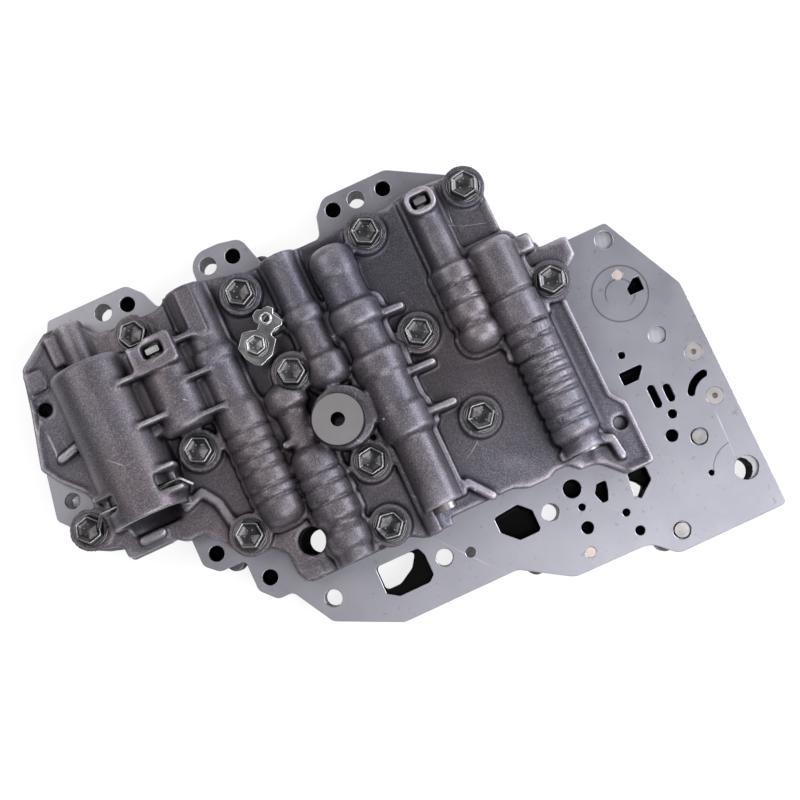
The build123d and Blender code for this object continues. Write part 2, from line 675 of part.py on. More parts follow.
# Everything that is bored, drilled or slotted in the upper casting
retainer_z = slab_top + retainer_rise
over_all = tank.rise + tank.radius + tank_wall
with BuildPart() as drilling:
    for b in [*bores, tank]:
        with BuildSketch(b.plane(0)):
            Circle(b.radius)
        extrude(amount=b.depth + (tank_run if b is tank else mouth_run))
    for b in bores:
        room = key_window if b.key_above else key_gap * 2
        with BuildSketch(level(b.z if b.key_above else plate_top)):
            with Locations((b.x, b.plane(b.key_reach).origin.Y)):
                RectangleRounded(b.key_width + room, key_thick + room, key_gap * 4)
        extrude(amount=over_all if b.key_above else b.rise)
    with BuildSketch(level(tank.z + window_rise)):
        with Locations((tank.x - window_at[0], window_at[1]), (tank.x + window_at[0], window_at[1])):
            RectangleRounded(*window_size, clip_wire_r)
    extrude(amount=over_all)
    extrude(discs(plate_top, (body_bolts_at, bolt_hole_r), (small_holes_at, small_hole_r)), amount=over_all)
    extrude(discs(plate_top, ([core_hole_at], core_hole_r)), amount=over_all)
    extrude(discs(plate_top, ([port_boss_at], port_boss_hole_r)), amount=over_all)
    extrude(discs(retainer_z, ([retainer_screw_at], screw_thread_r + thread_gap)), amount=-screw_depth)
    extrude(discs(retainer_z, ([relief_pin_at], relief_pin_r + thread_gap)), amount=-relief_pin_length)

# Upper casting: slab, ridges over the bores, lumps, ribs and bosses
cast_lumps = [raised_block(*at, lump_corner, lump_draft) for at in lumps]
cast_pads = [raised_block(*at) for at in pads]
ridges = [bore_ridge(b) for b in bores] + [skirt(b) for b in bores if b.name in skirts]
ridges += [ridge(x, plate_top + up, plate_top + passage_floor, steps, r) for x, up, r, steps in passages]
tank_outer_r = tank.radius + tank_wall
tank_steps = [(tank.blind_y + tank_end, tank_outer_r), (tank.mouth_y, tank_outer_r)]
ridges.append(ridge(tank.x, tank.z, plate_top, tank_steps, tank_rounding))
bolt_seats = [post((x, y), seat_r, rise) for x, y, rise in body_bolts_at]
bosses = [
    post(port_boss_at, port_boss_r, port_boss_rise), post(retainer_screw_at, pillar_r, retainer_rise),
    post(relief_pin_at, pin_pillar_r, retainer_rise), post(port_collar_at, port_collar_r, port_collar_rise),
]
with BuildPart() as edge_rims:
    with BuildSketch(level(slab_top)):
        for route in rims:
            with BuildLine() as middle_line:
                Polyline(*route)
            trace(line_width=rim_width)
    extrude(amount=rim_rise)
with BuildPart() as upper_body:
    extrude(area(upper_outline, plate_top), amount=slab_thick)
    add(cast_lumps + cast_pads + ridges + bolt_seats + bosses + [edge_rims.part])
    add([rib(*at) for at in ribs] + [fin(*at) for at in fins])
    for rise in sorted({at[2] for at in body_bolts_at}):
        places = [at for at in body_bolts_at if at[2] == rise]
        extrude(discs(slab_top + rise, (places, seat_clear_r)), amount=over_all, mode=Mode.SUBTRACT)
    add(drilling.part, mode=Mode.SUBTRACT)
upper_body.part.label = "upper_body"

# Bolts
with BuildPart() as body_bolts:
    for x, y, rise in body_bolts_at:
        seat_z = slab_top + rise
        reach = seat_z - lower_top + thread_depth - tip_gap
        add(flange_bolt(x, y, seat_z, hex_flats, hex_height, flange_r, flange_thick, thread_r, reach))
body_bolts.part.label = "body_bolts"

with BuildPart() as rear_bolts:
    for x, y in rear_bolts_at:
        reach = plate_top - counterbore_depth - flush_drop
        add(flange_bolt(
            x, y, counterbore_depth, rear_hex, hex_height, rear_flange_r, flange_thick, thread_r, reach, -1,
        ))
rear_bolts.part.label = "rear_bolts"

# Small pieces that sit in the plate and the lower casting
with BuildPart() as flush_plugs:
    extrude(discs(plate_top, (plugs_at, plug_r)), amount=tip_gap / 2 - plug_length)
    extrude(discs(plate_top, (plugs_at, dimple_r)), amount=-dimple_r, taper=40, mode=Mode.SUBTRACT)
flush_plugs.part.label = "flush_plugs"

with BuildPart() as orifice_plugs:
    extrude(discs(plate_top - flush_drop, (orifices_at, orifice_r)), amount=2 * flush_drop - orifice_length)
orifice_plugs.part.label = "orifice_plugs"

with BuildPart() as locating_pin:
    extrude(discs(plate_top - flush_drop, ([pin_at], pin_r)), amount=2 * flush_drop - plug_length)
locating_pin.part.label = "locating_pin"

with BuildPart() as check_balls:
    with Locations(*[(x, y, lower_top - tap_ball_r - ball_pocket_gap / 4) for x, y in tap_balls_at]):
        Sphere(tap_ball_r)
check_balls.part.label = "check_balls"

# Stamped retainer, its screw and the pin under it
with BuildPart() as retainer_plate:
    extrude(polygon_area(retainer_outline, retainer_corner, retainer_z), amount=retainer_thick)
    extrude(discs(retainer_z, ([retainer_hole_at], retainer_lip_r)), amount=retainer_thick + retainer_lip)
    holes = discs(retainer_z, ([retainer_screw_at], screw_thread_r + 5 * thread_gap))
    extrude(holes, amount=retainer_thick, mode=Mode.SUBTRACT)
    lip_hole = discs(retainer_z, ([retainer_hole_at], retainer_hole_r))
    extrude(lip_hole, amount=retainer_thick + retainer_lip, mode=Mode.SUBTRACT)
retainer_plate.part.label = "retainer_plate"

screw_seat = retainer_z + retainer_thick
with BuildPart() as retainer_screw:
    reach = retainer_thick + screw_depth - tip_gap
    add(flange_bolt(
        *retainer_screw_at, screw_seat, screw_hex, screw_hex_height, screw_flange_r, screw_flange,
        screw_thread_r, reach,
    ))
retainer_screw.part.label = "retainer_screw"

with BuildPart() as relief_pin:
    pin_top = discs(retainer_z - stop_gap, ([relief_pin_at], relief_pin_r))
    extrude(pin_top, amount=2 * stop_gap - relief_pin_length)
relief_pin.part.label = "relief_pin"

# Accumulator: piston cup, spring, cap and wire clip
cap_y = clip_y + clip_wire_r + stop_gap
cap_start = tank.blind_y - cap_y - cap_length
with BuildPart() as accumulator_piston:
    with BuildSketch(tank.plane(stop_gap)):
        Circle(tank.radius - running_gap)
    extrude(amount=tank_piston_length)
    with BuildSketch(tank.plane(stop_gap + tank_floor)):
        Circle(tank.radius - tank_piston_wall)
    extrude(amount=tank_piston_length, mode=Mode.SUBTRACT)
accumulator_piston.part.label = "accumulator_piston"

cup = replace(tank, radius=tank.radius - tank_piston_wall)
spring_start = stop_gap + tank_floor
accumulator_spring = spring(cup, spring_start, cap_start - spring_start, tank_turns)
accumulator_spring.label = "accumulator_spring"

with BuildPart() as accumulator_cap:
    with BuildSketch(tank.plane(cap_start)):
        Circle(tank.radius - running_gap)
    extrude(amount=cap_length)
    with BuildSketch(tank.plane(cap_start)):
        Circle(cup.guide_r)
    extrude(amount=-nib_length)
    with BuildSketch(tank.plane(cap_start + cap_length)):
        Circle(cup.guide_r)
    extrude(amount=-cap_length / 2, taper=15, mode=Mode.SUBTRACT)
accumulator_cap.part.label = "accumulator_cap"

with BuildPart() as accumulator_clip:
    clip_z = tank.z + clip_rise
    half = [Vector(tank.x + x, clip_y + y, clip_z + z) for x, y, z in clip_hook]
    other = [Vector(tank.x - x, clip_y + y, clip_z + z) for x, y, z in reversed(clip_hook)]
    with BuildLine() as wire:
        FilletPolyline(*half, *other, radius=clip_bend)
    with BuildSketch(Plane(origin=wire.line @ 0, z_dir=wire.line % 0)):
        Circle(clip_wire_r)
    sweep()
accumulator_clip.part.label = "accumulator_clip"

# What each valve bore holds
inner_pieces = []
for b in bores:
    pieces = {
        "valve": spool(b), "spring": spring(b, b.valve_end, spring_room, spring_turns),
        "plug": bore_plug(b), "key": key(b),
    }
    for kind, piece in pieces.items():
        piece.label = f"{b.name}_{kind}"
        inner_pieces.append(piece)

solids = [
    lower_body, separator_plate, upper_body, body_bolts, rear_bolts, flush_plugs, orifice_plugs,
    locating_pin, check_balls, retainer_plate, retainer_screw, relief_pin, accumulator_piston,
    accumulator_cap, accumulator_clip,
]
os.makedirs("parts", exist_ok=True)
for piece in [*[built.part for built in solids], accumulator_spring, *inner_pieces]:
    export_step(piece, f"parts/{piece.label}.step")
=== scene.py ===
"""Dresses the transmission valve body in its die-cast, rolled and oxide-black finishes."""

import json
import logging
import math
from dataclasses import dataclass
from enum import Enum

import bmesh
import bpy
import numpy as np
from mathutils import Matrix, Vector
from mathutils.bvhtree import BVHTree
from mathutils.kdtree import KDTree


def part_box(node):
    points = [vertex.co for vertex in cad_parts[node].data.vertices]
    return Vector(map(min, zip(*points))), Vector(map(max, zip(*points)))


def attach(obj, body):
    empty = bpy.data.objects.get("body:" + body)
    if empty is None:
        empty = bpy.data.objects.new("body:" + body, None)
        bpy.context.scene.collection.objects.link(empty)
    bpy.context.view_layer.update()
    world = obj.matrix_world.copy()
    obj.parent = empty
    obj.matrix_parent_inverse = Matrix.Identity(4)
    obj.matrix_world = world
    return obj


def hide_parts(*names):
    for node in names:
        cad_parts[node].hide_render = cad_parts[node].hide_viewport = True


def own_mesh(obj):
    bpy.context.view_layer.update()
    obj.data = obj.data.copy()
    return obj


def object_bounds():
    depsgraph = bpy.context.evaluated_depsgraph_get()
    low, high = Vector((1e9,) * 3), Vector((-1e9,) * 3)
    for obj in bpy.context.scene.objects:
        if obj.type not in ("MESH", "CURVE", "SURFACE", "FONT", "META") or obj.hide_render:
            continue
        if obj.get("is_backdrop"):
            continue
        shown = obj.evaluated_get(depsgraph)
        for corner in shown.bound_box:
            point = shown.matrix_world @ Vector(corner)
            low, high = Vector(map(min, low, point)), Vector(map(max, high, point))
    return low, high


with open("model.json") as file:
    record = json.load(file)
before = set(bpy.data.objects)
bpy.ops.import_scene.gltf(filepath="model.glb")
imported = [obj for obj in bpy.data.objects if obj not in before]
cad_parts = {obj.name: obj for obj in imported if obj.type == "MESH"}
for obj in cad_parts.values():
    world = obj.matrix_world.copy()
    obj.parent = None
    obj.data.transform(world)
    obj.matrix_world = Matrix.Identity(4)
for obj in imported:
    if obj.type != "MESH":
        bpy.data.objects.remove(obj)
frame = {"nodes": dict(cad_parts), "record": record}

logging.basicConfig(level=logging.INFO, format="%(message)s")
LOG = logging.getLogger("valve_body")

MM = 0.001
JOIN = 1e-6
ROOT_BODY = "castings"
MIDST = (0.3, 0.7)  # the range that most of a noise's values take
UPRIGHT = 0.9995
SIDE_ON = 0.7

Colour = tuple[float, float, float]
Place = tuple[float, float]
Band = tuple[float, ...]  # from and to, and then the results there where they aren't 0 and 1
Material = bpy.types.Material
Mesh = bpy.types.Mesh
Socket = bpy.types.NodeSocket
Thing = bpy.types.Object


class Maths(Enum):
    """Operations on two values in a material."""

    PLUS = "ADD"
    MINUS = "SUBTRACT"
    TIMES = "MULTIPLY"
    MOST = "MAXIMUM"
    SIZE = "ABSOLUTE"
    ZIGZAG = "PINGPONG"


def toned(colour: Colour, factor: float) -> Colour:
    """A colour made lighter or darker by a factor."""
    return tuple(factor * value for value in colour)


@dataclass(frozen=True)
class Patches:
    """A noise of some cells per metre, and the band that shows where it is strong or weak."""

    scale: float
    band: Band = (0.0, 1.0)
    detail: float = 2
    rough: float = 0.55


@dataclass(frozen=True)
class Scratches:
    """Thin straight lines that cross at random, in a few areas only."""

    scale: float
    width: float
    stretch: Colour
    turn: float
    area: Patches


class Recipe:
    """A material under construction: a principled shader and the nodes that feed it."""

    def __init__(self, name: str) -> None:
        """Starts an empty material.

        Args:
            name: the material's name.
        """
        self.material = bpy.data.materials.new(name)
        self.material.use_nodes = True
        self.tree = self.material.node_tree
        self.tree.nodes.clear()
        self.shader = self.node("ShaderNodeBsdfPrincipled")
        self.output = self.node("ShaderNodeOutputMaterial", {"Surface": self.shader.outputs["BSDF"]})
        self.coords = self.node("ShaderNodeTexCoord").outputs["Object"]

    def feed(self, value: object, socket: Socket) -> None:
        """Links a socket to another, or sets a number, vector or colour on it.

        Args:
            value: what goes in.
            socket: the input.
        """
        if isinstance(value, bpy.types.NodeSocket):
            self.tree.links.new(value, socket)
        else:
            socket.default_value = (*value, 1.0) if socket.type == "RGBA" else value

    def node(self, kind: str, feeds: dict[str | int, object] | None = None,
             **settings: object) -> bpy.types.Node:
        """Adds one node.

        Args:
            kind: Blender's identifier of the node.
            feeds: what goes into its sockets, by name or number.
            settings: properties to set on it.

        Returns:
            The new node.
        """
        made = self.tree.nodes.new(kind)
        for key, value in settings.items():
            setattr(made, key, value)
        for key, value in (feeds or {}).items():
            self.feed(value, made.inputs[key])
        return made

    def stretched(self, scale: Colour, turn: float = 0.0, centre: Colour = (0, 0, 0)) -> Socket:
        """Object coordinates that are moved, turned about Z and scaled.

        Args:
            scale: factor along each axis.
            turn: turn about Z in degrees.
            centre: point that becomes the origin, in metres.

        Returns:
            The vector socket.
        """
        return self.node("ShaderNodeMapping", {
            "Location": centre, "Rotation": (0, 0, math.radians(turn)),
            "Scale": [1 / value for value in scale], "Vector": self.coords,
        }, vector_type="TEXTURE").outputs["Vector"]

    def axes(self) -> list[Socket]:
        """X, Y and Z of the object coordinates."""
        return list(self.node("ShaderNodeSeparateXYZ", {"Vector": self.coords}).outputs)

    def noise(self, plan: Patches, vector: Socket | None = None) -> Socket:
        """A fractal noise.

        Args:
            plan: its cells and octaves.
            vector: coordinates, or None for plain object coordinates.

        Returns:
            The noise's value socket.
        """
        return self.node("ShaderNodeTexNoise", {
            "Scale": plan.scale, "Detail": plan.detail, "Roughness": plan.rough,
            "Vector": vector or self.coords,
        }).outputs["Fac"]

    def patches(self, plan: Patches) -> Socket:
        """The mask of a noise's patches."""
        return self.band(self.noise(plan), *plan.band)

    def band(self, value: Socket, low: float, high: float,
             out_low: float = 0.0, out_high: float = 1.0) -> Socket:
        """Maps a value's range onto another, clamped.

        Args:
            value: the value to map.
            low: where it gives out_low.
            high: where it gives out_high.
            out_low: result at low.
            out_high: result at high.

        Returns:
            The mapped value.
        """
        return self.node("ShaderNodeMapRange", {
            "Value": value, "From Min": low, "From Max": high, "To Min": out_low, "To Max": out_high,
        }).outputs["Result"]

    def maths(self, operation: Maths, first: Socket, *others: Socket | float) -> Socket:
        """A sum, product or other operation, worked from the left.

        Args:
            operation: what is done.
            first: first value.
            others: the further values, or none where the operation takes one.

        Returns:
            The result.
        """
        for other in others or (0.0,):
            made = self.node("ShaderNodeMath", {0: first, 1: other}, operation=operation.value)
            first = made.outputs["Value"]
        return first

    def radius(self, centre: Place) -> Socket:
        """Distance in the plan view from a point of the row, in metres."""
        flat = self.stretched((1, 1, 0.0001), 0, (*centre, 0))
        return self.node("ShaderNodeVectorMath", {0: flat}, operation="LENGTH").outputs["Value"]

    def ring(self, centre: Place, radius: float, width: float) -> Socket:
        """A thin circle in the plan view: 1 on the line and 0 beside it.

        Args:
            centre: X and Y in metres.
            radius: the circle's radius.
            width: half the line's width.

        Returns:
            The mask socket.
        """
        away = self.maths(Maths.SIZE, self.maths(Maths.MINUS, self.radius(centre), radius))
        return self.band(away, 0.4 * width, width, 1.0, 0.0)

    def cutter_marks(self, centre: Place, pitch: float) -> Socket:
        """Rings that a face mill leaves round a point: up to 1 and back over twice the pitch."""
        return self.band(self.maths(Maths.ZIGZAG, self.radius(centre), pitch), 0.0, pitch)

    def scratches(self, plan: Scratches) -> Socket:
        """The mask of some scratches."""
        cells = self.node("ShaderNodeTexVoronoi", {
            "Scale": plan.scale, "Vector": self.stretched(plan.stretch, plan.turn),
        }, feature="DISTANCE_TO_EDGE")
        lines = self.band(cells.outputs["Distance"], 0.0, plan.width, 1.0, 0.0)
        return self.maths(Maths.TIMES, lines, self.patches(plan.area))

    def attribute(self, name: str) -> Socket:
        """The value of a point attribute of the mesh."""
        return self.node("ShaderNodeAttribute", attribute_name=name).outputs["Fac"]

    def blend(self, amount: Socket, first: object, second: object) -> Socket:
        """Mixes two colours.

        Args:
            amount: 0 for the first, 1 for the second.
            first: a colour socket or an RGB triple.
            second: a colour socket or an RGB triple.

        Returns:
            The mixed colour.
        """
        return self.node("ShaderNodeMix", {0: amount, 6: first, 7: second}, data_type="RGBA").outputs[2]

    def bump(self, height: Patches, depth: float, strength: float) -> Socket:
        """The small dints of a surface.

        Args:
            height: the noise that gives their height.
            depth: height of 1 in metres.
            strength: how strongly they tilt the surface.

        Returns:
            The normal socket.
        """
        return self.node("ShaderNodeBump", {
            "Strength": strength, "Distance": depth, "Height": self.noise(height),
        }).outputs["Normal"]

    def finish(self, colour: object, roughness: object, metallic: object,
               normal: Socket | None = None) -> Material:
        """Sets the shader's main inputs.

        Args:
            colour: a colour socket or an RGB triple.
            roughness: a value socket or a number.
            metallic: a value socket or a number.
            normal: a normal socket.

        Returns:
            The finished material.
        """
        inputs = {"Base Color": colour, "Roughness": roughness, "Metallic": metallic, "Normal": normal}
        for name, value in inputs.items():
            if value is not None:
                self.feed(value, self.shader.inputs[name])
        return self.material


@dataclass(frozen=True)
class CastSkin:
    """Dark satin skin of a die casting, with painted highlights on its crests and painted shade in its hollows.

    The mesh's attributes form and basin are 1 on a crest and 0 in a hollow.
    """

    name: str = "cast_skin"
    # near black: the painted shade in hollows and openings, and the grain's pits
    hollow: Colour = (0.010, 0.009, 0.011)
    warm: Colour = (0.075, 0.063, 0.070)
    cool: Colour = (0.061, 0.059, 0.077)
    # painted highlight: the paler tone that the crests take
    crest: Colour = (0.240, 0.220, 0.250)
    # paler tone of worn and scratched spots; on the sharp edges it is also a painted highlight
    scuff_and_highlight: Colour = (0.46, 0.44, 0.46)
    fleck: Colour = (0.80, 0.79, 0.80)
    milled: Colour = (0.150, 0.142, 0.147)
    bright: float = 1.5
    brightest: float = 2.1
    boss: Place = (-0.0145, 0.008)
    boss_pitch: float = 0.5 * MM
    boss_tone: float = 0.93
    clouds: Patches = Patches(38, detail=3)
    grain: Patches = Patches(1750, detail=3, rough=0.75)
    cooler: Patches = Patches(13, (0.36, 0.64))
    sway: Place = (-0.12, 0.12)
    crests: Band = (0.58, 0.95)
    # how much painted shade the hollows and the low basins take
    hollows: Band = (0.16, 0.47, 0.85, 0.0)
    basins: Band = (0.14, 0.50, 0.92, 0.0)
    # the painted highlight on the crests is dimmed near this X, by the band below
    crest_dim_x: float = -0.036
    crest_dimming: Band = (0.024, 0.042, 0.25, 1.0)
    # painted highlight on the crests of the ridges at the right, rising with X
    right_highlight_x: Band = (0.0, 0.06, 0.0, 0.32)
    # painted highlight along the sharpest edges
    tips: Band = (0.84, 1.0, 0.0, 0.12)
    pits: Band = (0.34, 0.5, 0.44, 0.0)
    sparks: Band = (0.5, 0.66, 0.0, 0.27)
    # where the grain's light flecks show: away from the painted shade
    outside_shade: Band = (0.0, 0.6, 1.0, 0.15)
    # sharp edges, where wear and a painted highlight show
    sharp: Band = (0.88, 1.0, 0.0, 0.7)
    wear_and_highlight: Patches = Patches(420, (0.52, 0.62), 5, 0.7)
    scratches: Scratches = Scratches(34, 0.006, (1, 1, 1), 24, Patches(60, (0.58, 0.68, 0.0, 0.525)))
    proud: Band = (0.52, 0.6)
    chips: Patches = Patches(230, (0.715, 0.73), 3, 0.6)
    chip_stretch: Colour = (1, 0.6, 1)
    chip_turn: float = 35
    chipped: Patches = Patches(22, (0.48, 0.52))
    sheen: Place = (0.42, 0.52)
    grain_sheen: Place = (-0.06, 0.06)
    # more metallic, and so darker, where the painted shade lies
    shade_metallic: Band = (0.3, 1.0, 0.66, 0.95)
    dints: Patches = Patches(1500, detail=3, rough=0.65)
    dint_depth: float = 0.07 * MM
    dint_strength: float = 0.6

    def build(self) -> Material:
        """Builds the material."""
        make = Recipe(self.name)
        form, basin, inside, milled = map(make.attribute, ("form", "basin", "inside", "milled"))
        cloud, grain = make.noise(self.clouds), make.noise(self.grain)
        x = make.axes()[0]
        off_middle = make.maths(Maths.SIZE, make.maths(Maths.MINUS, x, self.crest_dim_x))
        raised = make.maths(Maths.PLUS, form, make.band(cloud, *MIDST, *self.sway))
        # painted highlight on the crests, dimmed near the middle of the body
        crest = make.maths(Maths.TIMES, make.band(raised, *self.crests), make.band(off_middle, *self.crest_dimming))
        # painted shade in hollows, low basins and openings
        shade = make.maths(Maths.MOST, make.band(form, *self.hollows), make.band(basin, *self.basins), inside)
        base = make.blend(crest, make.blend(make.patches(self.cooler), self.warm, self.cool), self.crest)
        # painted highlight, stronger on the crests towards the right
        right_highlight = make.maths(Maths.TIMES, crest, make.band(x, *self.right_highlight_x))
        base = make.blend(right_highlight, base, toned(self.crest, self.bright))
        # the painted shade laid over the colour
        base = make.blend(shade, base, self.hollow)
        # painted highlight, a thin bright line along the sharpest edges
        base = make.blend(make.band(form, *self.tips), base, toned(self.crest, self.brightest))
        base = make.blend(make.band(grain, *self.pits), base, self.hollow)
        # light grain flecks, faded where the painted shade lies
        sparks = make.maths(Maths.TIMES, make.band(grain, *self.sparks), make.band(shade, *self.outside_shade))
        base = make.blend(sparks, base, toned(self.crest, self.bright))
        # sharp edges in patches: wear, and a painted highlight along them
        wear_and_highlight = make.maths(Maths.TIMES, make.band(form, *self.sharp), make.patches(self.wear_and_highlight))
        scuffs_and_highlights = make.maths(Maths.MOST, wear_and_highlight, make.scratches(self.scratches))
        colour = make.blend(scuffs_and_highlights, base, self.scuff_and_highlight)
        chips = make.noise(self.chips, make.stretched(self.chip_stretch, self.chip_turn))
        chips = make.maths(Maths.TIMES, make.band(form, *self.proud), make.band(chips, *self.chips.band),
                           make.patches(self.chipped))
        colour = make.blend(chips, colour, self.fleck)
        marks = make.cutter_marks(self.boss, self.boss_pitch)
        cut = make.blend(marks, self.milled, toned(self.milled, self.boss_tone))
        colour = make.blend(milled, colour, cut)
        rough = make.maths(Maths.PLUS, make.band(cloud, *MIDST, *self.sheen),
                           make.band(grain, *MIDST, *self.grain_sheen))
        normal = make.bump(self.dints, self.dint_depth, self.dint_strength)
        # metallic rises under the painted shade
        return make.finish(colour, rough, make.band(shade, *self.shade_metallic), normal)


@dataclass(frozen=True)
class LowerSkin:
    """Skin of the lower casting: cast sides, painted shade in the oil ways, machined faces and drilled holes.
    """

    name: str = "lower_skin"
    cast: Colour = (0.040, 0.035, 0.040)
    # paler tone: a painted highlight on the crests, and the grain's flecks
    edge: Colour = (0.120, 0.106, 0.117)
    # near black: the painted shade in the oil ways
    oil_way_shade: Colour = (0.0035, 0.0033, 0.0036)
    milled: Colour = (0.30, 0.30, 0.32)
    drilled: Colour = (0.62, 0.62, 0.64)
    back_z: Band = (0.0002, 0.0003, 1.0, 0.0)
    joint_z: Band = (0.01385, 0.01395)
    joint_x: Band = (0.070, 0.072)
    cutter: Place = (-0.35, 0.12)
    cutter_pitch: float = 1.1 * MM
    cutter_tone: float = 0.9
    paler: float = 1.4
    clouds: Patches = Patches(45, (0.35, 0.7), 4)
    grain: Patches = Patches(1500, (0.36, 0.62, 0.0, 0.18), 2, 0.7)
    crests: Band = (0.62, 0.95)
    sheen: Place = (0.44, 0.56)
    flat_metal: float = 0.85
    metal: Band = (0.0, 1.0, 0.62, 1.0)
    dints: Patches = Patches(1700, detail=3, rough=0.6)
    dint_depth: float = 0.05 * MM
    dint_strength: float = 0.5

    def build(self) -> Material:
        """Builds the material."""
        make = Recipe(self.name)
        x, _, z = make.axes()
        form, inside, drilled = map(make.attribute, ("form", "inside", "milled"))
        cloud = make.noise(self.clouds)
        face = make.band(z, *self.joint_z)
        joint = make.maths(Maths.TIMES, face, make.band(x, *self.joint_x))
        flat = make.maths(Maths.MOST, make.band(z, *self.back_z), joint)
        skin = make.blend(make.band(cloud, *self.clouds.band), self.cast, toned(self.cast, self.paler))
        # painted highlight on the crests
        skin = make.blend(make.band(form, *self.crests), skin, self.edge)
        skin = make.blend(make.patches(self.grain), skin, self.edge)
        # the joint face left of joint_x, painted near black as shade
        shaded_joint = make.maths(Maths.TIMES, face, make.band(x, *self.joint_x, 1.0, 0.0))
        inside = make.maths(Maths.MOST, inside, shaded_joint)
        # painted shade in the oil ways and on that part of the joint face
        skin = make.blend(inside, skin, self.oil_way_shade)
        marks = make.cutter_marks(self.cutter, self.cutter_pitch)
        cut = make.blend(marks, self.milled, toned(self.milled, self.cutter_tone))
        colour = make.blend(drilled, make.blend(flat, skin, cut), self.drilled)
        # metallic rises under the painted shade, which darkens it further
        metal = make.maths(Maths.MOST, make.maths(Maths.TIMES, flat, self.flat_metal),
                           make.band(inside, *self.metal))
        normal = make.bump(self.dints, self.dint_depth, self.dint_strength)
        return make.finish(colour, make.band(cloud, *MIDST, *self.sheen), metal, normal)


@dataclass(frozen=True)
class PlateSteel:
    """Blue grey rolled steel of the separator plate, with faint stains, scratches, scribed rings and a painted
    shadow.
    """

    name: str = "plate_steel"
    sheet: Colour = (0.192, 0.191, 0.216)
    stain: Colour = (0.140, 0.139, 0.160)
    spot: Colour = (0.10, 0.10, 0.11)
    scratch: Colour = (0.62, 0.62, 0.66)
    groove: Colour = (0.045, 0.045, 0.05)
    # near black: a painted shadow on the plate under one small port of the upper casting
    port: Colour = (0.004, 0.004, 0.004)
    scribed: Place = (0.1125, 0.0085)
    arc: Place = (0.1272, -0.0782)
    port_shadow_at: Place = (-0.1215, 0.063)
    port_shadow_edge: Band = (2.9 * MM, 3.0 * MM, 1.0, 0.0)
    arc_ring: Place = (12.5 * MM, 0.32 * MM)
    arc_x: Band = (0.1262, 0.1264, 1.0, 0.0)
    arc_y: Band = (-0.0755, -0.0750)
    inner_ring: Place = (6.1 * MM, 0.4 * MM)
    outer_ring: Place = (11.7 * MM, 0.45 * MM)
    ring_share: float = 0.72
    broken: Patches = Patches(70, (0.36, 0.5))
    stains: Patches = Patches(24, (0.46, 0.78, 0.0, 0.5), 5, 0.65)
    spots: Patches = Patches(420, (0.66, 0.74, 0.0, 0.5), 2, 0.5)
    scratches: Scratches = Scratches(26, 0.004, (1, 0.35, 1), 62, Patches(45, (0.56, 0.68, 0.0, 0.3)))
    sheen: Patches = Patches(60, (*MIDST, 0.36, 0.46), 4, 0.6)
    metallic: float = 0.75
    dints: Patches = Patches(2200, detail=2, rough=0.6)
    dint_depth: float = 0.02 * MM
    dint_strength: float = 0.35

    def build(self) -> Material:
        """Builds the material."""
        make = Recipe(self.name)
        tone = make.blend(make.patches(self.stains), self.sheet, self.stain)
        tone = make.blend(make.patches(self.spots), tone, self.spot)
        tone = make.blend(make.scratches(self.scratches), tone, self.scratch)
        tone = make.blend(make.maths(Maths.TIMES, self.rings(make), self.ring_share), tone, self.groove)
        # painted shadow: a near black disc under the small port above
        tone = make.blend(make.band(make.radius(self.port_shadow_at), *self.port_shadow_edge), tone, self.port)
        normal = make.bump(self.dints, self.dint_depth, self.dint_strength)
        return make.finish(tone, make.patches(self.sheen), self.metallic, normal)

    def rings(self, make: Recipe) -> Socket:
        """The fine rings scribed in the plate: one with a broken inner one, and an arc.

        Args:
            make: the material.

        Returns:
            The mask socket.
        """
        x, y, _ = make.axes()
        arc = make.maths(Maths.TIMES, make.ring(self.arc, *self.arc_ring), make.band(x, *self.arc_x),
                         make.band(y, *self.arc_y))
        inner = make.maths(Maths.TIMES, make.ring(self.scribed, *self.inner_ring), make.patches(self.broken))
        return make.maths(Maths.MOST, arc, make.ring(self.scribed, *self.outer_ring), inner)


@dataclass(frozen=True)
class Metal:
    """A plain metal finish with some cloudiness and fine grain, and a paler rim, a painted highlight, where one
    is given.
    """

    name: str
    colour: Colour
    cloud_colour: Colour
    roughness: float = 0.35
    metallic: float = 0.9
    rim: Colour | None = None
    clouds: Patches = Patches(180, (0.35, 0.7), 4, 0.6)
    sheen: Place = (-0.05, 0.07)
    wear_and_highlight: Patches = Patches(900, (0.25, 0.5, 0.35, 1.0), 3, 0.6)
    dints: Patches = Patches(1500, detail=3, rough=0.6)
    dint_depth: float = 0.02 * MM
    dint_strength: float = 0.5

    def build(self) -> Material:
        """Builds the material."""
        make = Recipe(self.name)
        cloud = make.noise(self.clouds)
        colour = make.blend(make.band(cloud, *self.clouds.band), self.colour, self.cloud_colour)
        # painted highlight on the rim, broken into patches like wear
        if self.rim is not None:
            wear_and_highlight = make.maths(Maths.TIMES, make.attribute("rim"), make.patches(self.wear_and_highlight))
            colour = make.blend(wear_and_highlight, colour, self.rim)
        rough = make.band(cloud, *MIDST, *(self.roughness + shift for shift in self.sheen))
        normal = make.bump(self.dints, self.dint_depth, self.dint_strength)
        return make.finish(colour, rough, self.metallic, normal)


